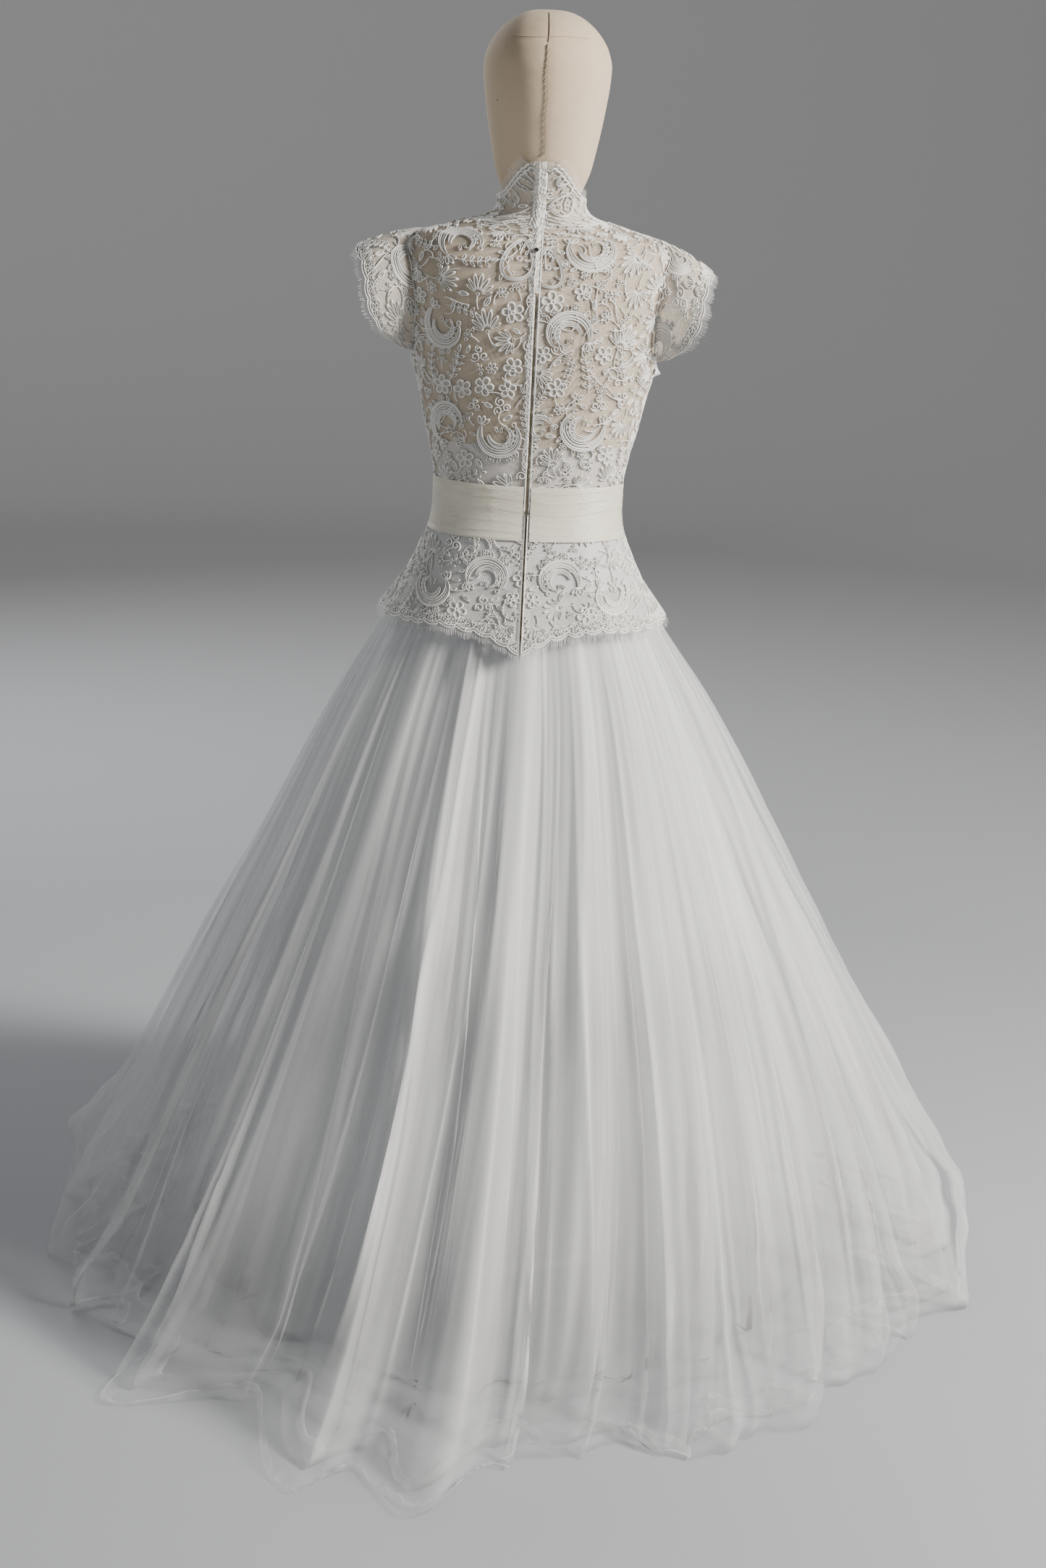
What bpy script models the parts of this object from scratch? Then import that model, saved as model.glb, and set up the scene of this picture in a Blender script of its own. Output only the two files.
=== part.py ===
"""A lace and tulle dress on a limbless canvas dress form.

Metres, +Z up. The origin is the middle of the stand's foot, on the floor. The garment's back,
with its zip, faces -Y, and the wearer's left is -X. Every wall of cloth is read from tables of
level rings, so what lies on a panel is that panel's own surface, moved out.
"""
import math

import bmesh
import bpy
from mathutils import Vector

COLLECTION = "tulle_dress_on_dress_form"

# Heights of the main seams and edges
WAIST_SEAM = 1.000
NECK_SEAM = 1.354
SKIRT_TOP = 0.955
SATIN_HEM = 0.905
SATIN_TOP = 1.083
SASH_TOP = 1.034
SASH_BOTTOM = 0.964
PEPLUM_HEM = 0.856
ZIP_TOP = 1.272
ZIP_BOTTOM = 0.845
TORSO_BOTTOM = 0.800

# A hull's ring nearer than this to a panel's edge gets no row of its own
ROW_MARGIN = 0.004

# Clearances and cloth thicknesses; OUT values are distances from the dress's inmost surface
SEAM_GAP = 0.0004
SEAT_GAP = 0.0003
SATIN_OUT, SATIN_THICK = 0.0006, 0.0012
LACE_OUT, LACE_THICK = 0.0024, 0.0014
SASH_OUT, SASH_THICK = 0.0046, 0.0012
PLACKET_OUT, PLACKET_THICK = 0.0046, 0.0012
BINDING_OUT = 0.0046
CAP_OUT = 0.0052
ZIP_TAPE_THICK = 0.0010
TULLE_THICK = 0.0010

# Half widths at the centre back, and seams in degrees from it
BACK_EDGE = 0.0024
SATIN_BACK_EDGE = 0.0135
SASH_BACK_EDGE = 0.0026
ZIP_TAPE_HALF = 0.0110
ZIP_TEETH_HALF = 0.0008
ZIP_TEETH_HEIGHT = 0.0016
ZIP_TEETH_FOOT = 0.0014
SIDE_SEAM = 91.0
SHOULDER_SEAM = 90.0
PEPLUM_FRONT_EDGE = 104.0
COLLAR_BACK_EDGE = 3.0

# Stand
FOOT_RADIUS, FOOT_HEIGHT, FOOT_BEVEL = 0.175, 0.012, 0.003
POLE_RADIUS = 0.016

# Scallops and fringe
SCALLOP_DEPTH = 0.0025
STRIP_HEIGHT = 0.0016
STRIP_THICK = 0.0010
STRAND_WIDTH = 0.0013
STRAND_LENGTH = 0.0085
STRIP_GAP = 0.0003

# Underarm binding: middle height, half height, half spread in degrees, dip of its middle
BINDING_HEIGHT, BINDING_HALF, BINDING_SPREAD, BINDING_DIP = 1.182, 0.005, 8.0, 0.006

# Pleats of the sash from its lower edge up, as distances outwards
SASH_FOLDS = (0.0, 0.0009, 0.0, 0.0009, 0.0001, 0.0006)

# Waves of the peplum: height where they start, depth for each metre below it, waves each way round
FLUTE_TOP, FLUTE_SLOPE, FLUTES = 0.957, 0.022, 11.0

# Placket across its width: x, distance outwards
PLACKET_PROFILE = ((-0.009, 0.0), (-0.003, 0.0012), (0.003, 0.0004))
PLACKET_MARGIN = 0.004
STUD_HEIGHT, STUD_X = 1.322, -0.003
STUD_BASE, STUD_TOP, STUD_DEPTH, STUD_LIFT = 0.0032, 0.0026, 0.0014, 0.0012

# Roundness of the level sections: 2 is an ellipse, more is squarer
BODY_POWER = 2.2
HEAD_POWER = 2.05

# Rings of the canvas torso: height, half width, back depth, front depth
TORSO_RINGS = (
    (0.800, 0.1400, 0.1040, 0.1030),
    (0.840, 0.1370, 0.1010, 0.1000),
    (0.880, 0.1280, 0.0930, 0.0930),
    (0.920, 0.1190, 0.0850, 0.0870),
    (0.955, 0.1148, 0.0808, 0.0848),
    (0.975, 0.1150, 0.0812, 0.0856),
    (1.000, 0.1160, 0.0822, 0.0870),
    (1.030, 0.1170, 0.0835, 0.0900),
    (1.065, 0.1225, 0.0870, 0.0965),
    (1.100, 0.1315, 0.0930, 0.1055),
    (1.140, 0.1400, 0.0985, 0.1155),
    (1.180, 0.1505, 0.1035, 0.1215),
    (1.220, 0.1580, 0.1070, 0.1180),
    (1.260, 0.1645, 0.1060, 0.1050),
    (1.295, 0.1690, 0.0980, 0.0900),
    (1.318, 0.1645, 0.0850, 0.0780),
    (1.334, 0.1500, 0.0725, 0.0680),
    (1.346, 0.1120, 0.0620, 0.0610),
    (1.356, 0.0800, 0.0570, 0.0585),
    (1.364, 0.0595, 0.0515, 0.0540),
    (1.376, 0.0505, 0.0490, 0.0515),
    (1.392, 0.0485, 0.0490, 0.0515),
)

# Rings of the egg-shaped head: height, half width, back depth, front depth
HEAD_RINGS = (
    (1.3923, 0.0490, 0.0495, 0.0520),
    (1.4050, 0.0545, 0.0560, 0.0630),
    (1.4200, 0.0600, 0.0630, 0.0740),
    (1.4400, 0.0645, 0.0700, 0.0830),
    (1.4650, 0.0695, 0.0780, 0.0895),
    (1.4950, 0.0745, 0.0870, 0.0940),
    (1.5250, 0.0785, 0.0925, 0.0970),
    (1.5450, 0.0796, 0.0940, 0.0970),
    (1.5660, 0.0745, 0.0890, 0.0910),
    (1.5840, 0.0635, 0.0760, 0.0780),
    (1.5980, 0.0490, 0.0590, 0.0600),
    (1.6080, 0.0310, 0.0360, 0.0370),
    (1.6120, 0.0100, 0.0110, 0.0120),
)

# The dress's inmost surface below the waist seam, pushed out by the skirt under it
HIP_RINGS = (
    (0.820, 0.2050, 0.1650, 0.1570),
    (0.850, 0.1845, 0.1445, 0.1410),
    (0.881, 0.1630, 0.1250, 0.1245),
    (0.905, 0.1478, 0.1115, 0.1125),
    (0.957, 0.1258, 0.0920, 0.0960),
    (0.975, 0.1195, 0.0866, 0.0915),
    (1.000, 0.1168, 0.0832, 0.0880),
)

# Inner face of the stand collar: height, half width, back depth, front depth
COLLAR_RINGS = (
    (1.367, 0.0590, 0.0545, 0.0570),
    (1.379, 0.0535, 0.0530, 0.0555),
    (1.400, 0.0560, 0.0585, 0.0620),
    (1.440, 0.0665, 0.0745, 0.0840),
)

# Top edge of the collar: degrees from the centre back, height
COLLAR_TOP = ((0, 1.434), (15, 1.428), (29, 1.416), (45, 1.400), (60, 1.391), (90, 1.386), (180, 1.384))

# Back of the armhole: height, degrees from the centre back
ARMHOLE = ((1.180, 91.0), (1.190, 79.0), (1.220, 69.0), (1.260, 63.5), (1.295, 65.0), (1.318, 78.0),
           (1.334, 90.0))

# Free edge of the cap sleeve's back, one row for each armhole row above the underarm: x, y, z
CAP = (
    (0.1640, -0.034, 1.194),
    (0.1960, -0.066, 1.219),
    (0.2165, -0.074, 1.254),
    (0.2217, -0.061, 1.284),
    (0.2250, -0.036, 1.303),
    (0.2270, 0.000, 1.314),
)
# Rows of the cap from its free edge to its seam, as shares of the way
CAP_SHARES = (1.0, 0.68, 0.34, 0.0)
CAP_BULGE = 0.009
CAP_BULGE_UNDERARM = 0.25
# Direction of the bulge in degrees above the level, at the underarm and more at the shoulder
CAP_TILT, CAP_TILT_MORE = -10.0, 100.0
# The cap is sewn down over the edge of the panels by this turn in degrees, or rise at the shoulder
CAP_LAP_TURN = 0.8
CAP_LAP_RISE = 0.0025
# Ease at the top of the sleeve's head, which lifts it over the shoulder
CAP_EASE = 0.0040
CAP_FLUTTER, CAP_FLUTTERS = 0.003, 15.0
# How far each cap's free edge moves from the table at the shoulder point: out, up
CAP_DROOP = {"left": (0.002, 0.002), "right": (-0.008, -0.011)}

# Lower edge of the satin, which ends under the sash in front: degrees from the centre back, height
SATIN_EDGE = ((0, SATIN_HEM), (99, SATIN_HEM), (109, 0.966), (180, 0.966))
# Rows that would lie below the raised front edge are drawn together above it, to this share
SATIN_SQUEEZE = 0.05

# Peplum hem: degrees from the centre back, height
PEPLUM_EDGE = ((0, 0.829), (4, 0.836), (9, 0.846), (16, 0.853), (30, PEPLUM_HEM), (104, PEPLUM_HEM))

# Outer face of the skirt before folds: height, half width, back depth, front depth, shift in x,
# power of the rounded ellipse
SKIRT_RINGS = (
    (0.000, 0.6000, 0.6500, 0.5850, 0.012, 2.00),
    (0.090, 0.5580, 0.5980, 0.5350, 0.020, 2.00),
    (0.280, 0.4660, 0.4750, 0.4250, 0.018, 2.00),
    (0.520, 0.3470, 0.3250, 0.3000, 0.010, 2.05),
    (0.760, 0.2290, 0.1850, 0.1770, 0.003, 2.15),
    (0.850, 0.1765, 0.1350, 0.1330, 0.000, BODY_POWER),
    (0.905, 0.1440, 0.1075, 0.1085, 0.000, BODY_POWER),
    (0.955, 0.1234, 0.0894, 0.0938, 0.000, BODY_POWER),
)
# Depth of the folds of the outer tulle, and how far each layer lies inside it, by height
FOLD_DEPTH = ((0.0, 0.026), (0.09, 0.025), (0.28, 0.020), (0.52, 0.013), (0.76, 0.006), (0.90, 0.0016),
              (0.955, 0.0005))
LAYER_DROP = {
    "middle": ((0.0, 0.060), (0.28, 0.052), (0.52, 0.042), (0.76, 0.030), (0.955, 0.0032)),
    "inner": ((0.0, 0.097), (0.28, 0.082), (0.52, 0.066), (0.76, 0.045), (0.955, 0.0050)),
    "under": ((0.0, 0.134), (0.28, 0.108), (0.52, 0.084), (0.76, 0.056), (0.955, 0.0068)),
}
GATHER_DEPTH = 0.0010
GATHER_FADE = 0.80
HEM_POWER = 5.0
# How soon the outer folds lean from their even places at the waist to their places at the hem
LEAN_POWER = 0.7
# The inner layers' folds differ in depth by this share, in waves of this length
UNEVEN_SHARE, UNEVEN_PACE = 0.2, 2.4

# Folds of the outer tulle at the floor, going round from the wearer's left side past the back:
# degrees from the centre back, how far the crest and the trough after it lie outside the ring
OUTER_FOLDS = (
    (-97, 0.015, -0.020),
    (-77, 0.008, -0.026),
    (-58, -0.003, -0.026),
    (-40, 0.105, -0.020),
    (-18, 0.150, 0.080),
    (-7, 0.175, 0.020),
    (8, 0.015, -0.010),
    (22, 0.045, 0.010),
    (36, 0.040, -0.020),
    (53, 0.002, -0.028),
    (74, 0.025, -0.028),
    (94, 0.022, -0.026),
    (115, 0.020, -0.026),
    (137, 0.018, -0.026),
    (160, 0.022, -0.026),
    (183, 0.018, -0.026),
    (205, 0.022, -0.026),
    (235, 0.018, -0.026),
)
# The tulle puffs out at the front hips, where no peplum holds it in: degrees, reach, half spread
FRONT_PUFFS = ((-140, 0.032, 34), (134, 0.016, 28))
PUFF_HEIGHTS = ((0.62, 0.0), (0.76, 0.5), (0.88, 1.0), (0.905, 1.0), (0.955, 0.0))


def clear_scene():
    for old in list(bpy.data.objects):
        bpy.data.objects.remove(old, do_unlink=True)


def read(table, at, column=1):
    """Value of a table's column at a height or angle, straight between its rows."""
    if at <= table[0][0]:
        return table[0][column]
    for low, high in zip(table, table[1:]):
        if at <= high[0]:
            share = (at - low[0]) / (high[0] - low[0])
            return low[column] + (high[column] - low[column]) * share
    return table[-1][column]


def ring_point(angle, half_width, back, front, power):
    """Point of a rounded ellipse, in degrees from the centre back towards +X."""
    turn = math.radians(angle)
    side, away = math.sin(turn), math.cos(turn)
    depth = back if away >= 0.0 else front
    x = half_width * math.copysign(abs(side) ** (2.0 / power), side)
    y = -depth * math.copysign(abs(away) ** (2.0 / power), away)
    return x, y


class Hull:
    """A surface through level rings."""

    def __init__(self, rings, power=BODY_POWER):
        self.rings = rings
        self.power = power

    def at(self, angle, z):
        sizes = [read(self.rings, z, column) for column in (1, 2, 3)]
        x, y = ring_point(angle, *sizes, self.power)
        return Vector((x, y, z))

    def normal(self, angle, z, turn=1.5, rise=0.008):
        along = self.at(angle + turn, z) - self.at(angle - turn, z)
        up = self.at(angle, z + rise) - self.at(angle, z - rise)
        return along.cross(up).normalized()

    def point(self, angle, z, out=0.0):
        return self.at(angle, z) + self.normal(angle, z) * out

    def angle_at(self, z, x):
        """Degrees from the centre back of the point at x on the ring at z."""
        reach = min(1.0, abs(x) / read(self.rings, z, 1))
        return math.copysign(math.degrees(math.asin(reach ** (self.power / 2.0))), x)


TORSO = Hull(TORSO_RINGS)
HEAD = Hull(HEAD_RINGS, HEAD_POWER)
DRESS = Hull(HIP_RINGS + tuple(ring for ring in TORSO_RINGS if ring[0] > WAIST_SEAM))
COLLAR = Hull(COLLAR_RINGS)


def finish(name, colour, roughness, metallic=0.0):
    made = bpy.data.materials.new(name)
    made.use_nodes = True
    shader = made.node_tree.nodes["Principled BSDF"]
    shader.inputs["Base Color"].default_value = (*colour, 1.0)
    shader.inputs["Roughness"].default_value = roughness
    shader.inputs["Metallic"].default_value = metallic
    return made


def add_object(name, bm, material, smooth=True):
    mesh = bpy.data.meshes.new(name)
    bm.to_mesh(mesh)
    bm.free()
    if smooth:
        mesh.shade_smooth()
    mesh.materials.append(material)
    made = bpy.data.objects.new(name, mesh)
    bpy.data.collections[COLLECTION].objects.link(made)
    return made


def spread(first, last, count):
    """Evenly spaced values from first to last, count steps."""
    return [first + (last - first) * step / count for step in range(count + 1)]


def sheet(name, rows, thickness, material, closed=False):
    """A wall of cloth: a surface through rows of points, thickened outwards."""
    bm = bmesh.new()
    grid = [[bm.verts.new(point) for point in row] for row in rows]
    for lower, upper in zip(grid, grid[1:]):
        count = len(lower)
        for here in range(count if closed else count - 1):
            after = (here + 1) % count
            bm.faces.new((lower[here], lower[after], upper[after], upper[here]))
    bmesh.ops.triangulate(bm, faces=bm.faces)
    made = add_object(name, bm, material)
    wall = made.modifiers.new("wall", "SOLIDIFY")
    wall.thickness = thickness
    wall.offset = 1.0
    wall.use_even_offset = False
    wall.use_quality_normals = True
    return made


def solid_hull(name, hull, columns, material):
    """A closed body through every ring of a hull, with flat ends."""
    bm = bmesh.new()
    rings = []
    for ring in hull.rings:
        rings.append([bm.verts.new(hull.at(360.0 * step / columns, ring[0])) for step in range(columns)])
    for lower, upper in zip(rings, rings[1:]):
        for here in range(columns):
            after = (here + 1) % columns
            bm.faces.new((lower[here], lower[after], upper[after], upper[here]))
    bm.faces.new(reversed(rings[0]))
    bm.faces.new(rings[-1])
    return add_object(name, bm, material)


def fringe(name, edge, material):
    """A comb of pointed strands. Edge holds, for each strand, a point on the cloth's edge, the
    outward direction and the direction in which the strand falls."""
    bm = bmesh.new()
    strands = []
    for index, (point, outward, fall) in enumerate(edge):
        before = edge[max(index - 1, 0)][0]
        beyond = edge[min(index + 1, len(edge) - 1)][0]
        along = (beyond - before).normalized()
        top = point + fall * STRIP_GAP
        root = top + fall * STRIP_HEIGHT
        thick = outward * STRIP_THICK
        half = along * (STRAND_WIDTH / 2.0)
        tip = root + fall * STRAND_LENGTH + thick * 0.5
        corners = (top, root - half, root + half)
        strands.append(([bm.verts.new(corner) for corner in corners],
                        [bm.verts.new(corner + thick) for corner in corners], bm.verts.new(tip)))
    for (top, left, right), (top_out, left_out, right_out), tip in strands:
        bm.faces.new((top, left, right))
        bm.faces.new((top_out, right_out, left_out))
        outline = (left, right, right_out, left_out)
        for here, after in zip(outline, outline[1:] + outline[:1]):
            bm.faces.new((here, after, tip))
    for (inner, outer, _), (inner_next, outer_next, _) in zip(strands, strands[1:]):
        bm.faces.new((inner[0], inner[2], inner_next[1], inner_next[0]))
        bm.faces.new((outer[0], outer_next[0], outer_next[1], outer[2]))
        bm.faces.new((inner[0], inner_next[0], outer_next[0], outer[0]))
        bm.faces.new((inner[2], outer[2], outer_next[1], inner_next[1]))
    first, last = strands[0], strands[-1]
    bm.faces.new((first[0][0], first[1][0], first[1][1], first[0][1]))
    bm.faces.new((last[0][0], last[0][2], last[1][2], last[1][0]))
    bmesh.ops.triangulate(bm, faces=bm.faces)
    bmesh.ops.recalc_face_normals(bm, faces=bm.faces)
    return add_object(name, bm, material, smooth=False)


def make_stand(material):
    bm = bmesh.new()
    made = bmesh.ops.create_cone(bm, cap_ends=True, segments=40, radius1=FOOT_RADIUS,
                                 radius2=FOOT_RADIUS, depth=FOOT_HEIGHT)
    bmesh.ops.translate(bm, verts=made["verts"], vec=(0.0, 0.0, FOOT_HEIGHT / 2.0))
    foot = add_object("stand_foot", bm, material)
    rim = foot.modifiers.new("rim", "BEVEL")
    rim.width = FOOT_BEVEL
    rim.segments = 1
    rim.limit_method = "ANGLE"
    bm = bmesh.new()
    low, high = FOOT_HEIGHT + SEAT_GAP, TORSO_BOTTOM - SEAT_GAP
    made = bmesh.ops.create_cone(bm, cap_ends=True, segments=20, radius1=POLE_RADIUS,
                                 radius2=POLE_RADIUS, depth=high - low)
    bmesh.ops.translate(bm, verts=made["verts"], vec=(0.0, 0.0, (low + high) / 2.0))
    add_object("stand_pole", bm, material)


def make_form(canvas):
    solid_hull("form_torso", TORSO, 24, canvas)
    solid_hull("form_head", HEAD, 22, canvas)


def heights(low, high, hull):
    """Every ring height of a hull between two edges, with the edges."""
    between = [ring[0] for ring in hull.rings if low + ROW_MARGIN < ring[0] < high - ROW_MARGIN]
    return [low] + between + [high]


def back_edge(z):
    """Degrees from the centre back of a back panel's outer edge at a height."""
    return read(ARMHOLE, z) if z > ARMHOLE[0][0] else SIDE_SEAM


def front_edge(z):
    """Degrees from the centre back of the front panel's edge at a height."""
    if z >= ARMHOLE[-1][0]:
        return SHOULDER_SEAM
    return max(SIDE_SEAM, 180.0 - back_edge(z))


def bodice_rows():
    rows = heights(WAIST_SEAM + SEAM_GAP, NECK_SEAM, DRESS)
    return sorted(rows + [ARMHOLE[1][0]])


def bodice_back(name, side, columns, lace):
    rows = []
    for z in bodice_rows():
        inner = DRESS.angle_at(z, BACK_EDGE)
        outer = back_edge(z) - DRESS.angle_at(z, SEAM_GAP)
        angles = sorted(side * angle for angle in spread(inner, outer, columns))
        rows.append([DRESS.point(angle, z, LACE_OUT) for angle in angles])
    return sheet(name, rows, LACE_THICK, lace)


def bodice_front(name, columns, lace):
    rows = []
    for z in bodice_rows():
        edge = front_edge(z) + DRESS.angle_at(z, SEAM_GAP)
        rows.append([DRESS.point(angle, z, LACE_OUT) for angle in spread(edge, 360.0 - edge, columns)])
    return sheet(name, rows, LACE_THICK, lace)


def make_satin(columns, satin):
    between = spread(10.0, 350.0, columns - 2)
    rows = []
    for level in heights(SATIN_HEM, SATIN_TOP, DRESS):
        start = DRESS.angle_at(level, SATIN_BACK_EDGE)
        row = []
        for angle in [start] + between + [360.0 - start]:
            hem = read(SATIN_EDGE, 180.0 - abs(180.0 - angle))
            z = max(level, hem + (level - SATIN_HEM) * SATIN_SQUEEZE)
            row.append(DRESS.point(angle, z, SATIN_OUT))
        rows.append(row)
    return sheet("satin_underlay", rows, SATIN_THICK, satin)


def make_sash(columns, organza):
    """The sash lies in shallow folds, each row of its pleats a little further out or in."""
    rows = []
    for z, fold in zip(spread(SASH_BOTTOM, SASH_TOP, len(SASH_FOLDS) - 1), SASH_FOLDS):
        start = DRESS.angle_at(z, SASH_BACK_EDGE)
        angles = spread(start, 360.0 - start, columns)
        rows.append([DRESS.point(angle, z, SASH_OUT + fold) for angle in angles])
    return sheet("sash", rows, SASH_THICK, organza)


def flute(angle, z):
    """The peplum's soft waves, which open towards its hem."""
    drop = max(0.0, FLUTE_TOP - z)
    return FLUTE_SLOPE * drop * (1.0 + math.cos(math.radians(FLUTES * angle)))


def peplum_edge(side, columns):
    """Angles and scalloped hem heights along one side of the peplum, from the back seam."""
    angles = spread(0.0, PEPLUM_FRONT_EDGE, columns)
    edge = []
    for index, angle in enumerate(angles):
        scallop = SCALLOP_DEPTH if index % 2 else -SCALLOP_DEPTH
        edge.append((side * angle, read(PEPLUM_EDGE, angle) + (scallop if index else 0.0)))
    return sorted(edge)


def make_peplum(name, side, columns, lace):
    edge = peplum_edge(side, columns)
    rows = []
    for level in heights(PEPLUM_HEM, WAIST_SEAM - SEAM_GAP, DRESS):
        row = []
        for angle, hem in edge:
            z = hem if level == PEPLUM_HEM else level
            angle = side * max(abs(angle), DRESS.angle_at(z, BACK_EDGE))
            row.append(DRESS.point(angle, z, LACE_OUT + flute(angle, z)))
        rows.append(row)
    sheet("peplum_" + name, rows, LACE_THICK, lace)
    comb = []
    for angle, hem in edge:
        angle = side * max(abs(angle), DRESS.angle_at(hem, BACK_EDGE + STRAND_WIDTH))
        out = LACE_OUT + flute(angle, hem) + (LACE_THICK - STRIP_THICK) / 2.0
        here = DRESS.point(angle, hem, out)
        fall = (DRESS.point(angle, hem - STRAND_LENGTH, out) - here).normalized()
        comb.append((here, DRESS.normal(angle, hem), fall))
    fringe("fringe_peplum_" + name, comb, lace)


def make_collar(columns, lace):
    angles = spread(COLLAR_BACK_EDGE, 360.0 - COLLAR_BACK_EDGE, columns)
    tops = [read(COLLAR_TOP, 180.0 - abs(180.0 - angle)) for angle in angles]
    tops = [top + (SCALLOP_DEPTH * 0.5 if index % 2 else 0.0) for index, top in enumerate(tops)]
    low = COLLAR_RINGS[0][0]
    rows = [[DRESS.point(angle, NECK_SEAM + SEAT_GAP, LACE_OUT) for angle in angles]]
    for share in (0.0, 0.5, 1.0):
        rows.append([COLLAR.point(angle, low + (top - low) * share) for angle, top in zip(angles, tops)])
    sheet("collar", rows, LACE_THICK, lace)
    comb = []
    for angle, top in zip(angles, tops):
        out = (LACE_THICK - STRIP_THICK) / 2.0
        here = COLLAR.point(angle, top, out)
        rise = (COLLAR.point(angle, top + STRAND_LENGTH, out) - here).normalized()
        comb.append((here, COLLAR.normal(angle, top), rise))
    fringe("fringe_collar", comb, lace)


def cap_root(climb, front):
    """Point of the cap sleeve's seam, just inside the armhole's edge, from the underarm at 0 to
    the shoulder point at 1."""
    place = climb * (len(CAP) - 1)
    below = min(int(place), len(CAP) - 2)
    ends = []
    for index in (below, below + 1):
        z, angle = ARMHOLE[index + 1]
        if index == len(CAP) - 1:
            z += CAP_LAP_RISE
        else:
            angle -= CAP_LAP_TURN
        ends.append(DRESS.point(180.0 - angle if front else angle, z, CAP_OUT))
    share = place - below
    root = ends[0].lerp(ends[1], share)
    if below == len(CAP) - 2:
        root += (ends[0] + ends[1]).normalized() * (CAP_EASE * 4.0 * share * (1.0 - share))
    return root


def cap_grid(name, side, columns):
    """Rows of a cap sleeve from its free edge to the armhole, back to front."""
    edge_table = [(index / (len(CAP) - 1), *row) for index, row in enumerate(CAP)]
    droop_out, droop_up = CAP_DROOP[name]
    grid = [[] for _ in CAP_SHARES]
    for index, turn in enumerate(spread(-1.0, 1.0, columns)):
        climb = 1.0 - abs(turn)
        facing = -1.0 if turn > 0.0 else 1.0
        root = cap_root(climb, turn > 0.0)
        free_x, free_y, free_z = (read(edge_table, climb, column) for column in (1, 2, 3))
        edge = Vector((free_x + droop_out * climb, free_y * facing, free_z + droop_up * climb))
        scallop = SCALLOP_DEPTH if index % 2 else -SCALLOP_DEPTH
        edge += (edge - root).normalized() * scallop
        tilt = math.radians(CAP_TILT + CAP_TILT_MORE * climb)
        lift = Vector((0.0, -facing * math.cos(tilt), math.sin(tilt)))
        for row, share in enumerate(CAP_SHARES):
            point = root.lerp(edge, share)
            fullness = CAP_BULGE_UNDERARM + (1.0 - CAP_BULGE_UNDERARM) * climb
            bulge = CAP_BULGE * fullness * 4.0 * share * (1.0 - share)
            flutter = CAP_FLUTTER * share ** 2 * math.sin(turn * CAP_FLUTTERS) * climb
            point += lift * (bulge + flutter)
            grid[row].append(Vector((side * point.x, point.y, point.z)))
    return grid


def make_sleeve(name, side, columns, lace):
    grid = cap_grid(name, side, columns)
    if side < 0:
        grid = [row[::-1] for row in grid]
    sheet("sleeve_" + name, grid, LACE_THICK, lace)
    comb = []
    free, inner = grid[0], grid[1]
    for index in range(2, columns - 1):
        along = free[index + 1] - free[index - 1]
        fall = (free[index] - inner[index]).normalized()
        outward = fall.cross(along).normalized()
        here = free[index] + outward * (LACE_THICK - STRIP_THICK) / 2.0
        comb.append((here, outward, fall))
    fringe("fringe_sleeve_" + name, comb, lace)


def make_binding(name, side, sag, satin):
    """The bias band along the underarm, which stands away from the body a little."""
    rows = []
    for rise, out in ((-BINDING_HALF, 0.0), (0.0, sag), (BINDING_HALF, 0.0)):
        row = []
        for step in spread(0.0, 1.0, 6):
            angle = 90.0 + BINDING_SPREAD * (2.0 * step - 1.0)
            bow = math.sin(math.pi * step)
            z = BINDING_HEIGHT + rise - BINDING_DIP * bow
            row.append(DRESS.point(side * angle, z, BINDING_OUT + out * bow))
        rows.append(row if side > 0 else row[::-1])
    sheet("armhole_binding_" + name, rows, SATIN_THICK, satin)


def make_closure(tape, lace, metal):
    """Zip in the back seam, the folded placket over it and its press stud."""
    half = ((ZIP_TEETH_HALF, ZIP_TEETH_HEIGHT), (ZIP_TEETH_FOOT, 0.0), (ZIP_TAPE_HALF, 0.0))
    profile = [(-x, out) for x, out in reversed(half)] + list(half)
    rows = []
    for z in heights(ZIP_BOTTOM, ZIP_TOP, DRESS):
        rows.append([DRESS.point(DRESS.angle_at(z, x), z, SATIN_OUT + out) for x, out in profile])
    sheet("zip", rows, ZIP_TAPE_THICK, tape)
    rows = []
    for z in heights(ZIP_TOP + PLACKET_MARGIN, NECK_SEAM - PLACKET_MARGIN, DRESS):
        rows.append([DRESS.point(DRESS.angle_at(z, x), z, PLACKET_OUT + out) for x, out in PLACKET_PROFILE])
    sheet("placket", rows, PLACKET_THICK, lace)
    ridge = PLACKET_OUT + PLACKET_PROFILE[1][1] + PLACKET_THICK
    centre = DRESS.point(DRESS.angle_at(STUD_HEIGHT, STUD_X), STUD_HEIGHT, ridge)
    facing = DRESS.normal(0.0, STUD_HEIGHT)
    bm = bmesh.new()
    made = bmesh.ops.create_cone(bm, cap_ends=True, segments=12, radius1=STUD_BASE, radius2=STUD_TOP,
                                 depth=STUD_DEPTH)
    turn = Vector((0.0, 0.0, 1.0)).rotation_difference(facing)
    bmesh.ops.rotate(bm, verts=made["verts"], cent=(0.0, 0.0, 0.0), matrix=turn.to_matrix())
    bmesh.ops.translate(bm, verts=made["verts"], vec=centre + facing * STUD_LIFT)
    add_object("press_stud", bm, metal)


def puff(angle, z):
    """Extra reach of the outer tulle at the front hips."""
    total = 0.0
    for centre, reach, half in FRONT_PUFFS:
        off = (angle - centre + 180.0) % 360.0 - 180.0
        if abs(off) < half:
            total += reach * (0.5 + 0.5 * math.cos(math.pi * off / half))
    return total * read(PUFF_HEIGHTS, z)


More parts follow.
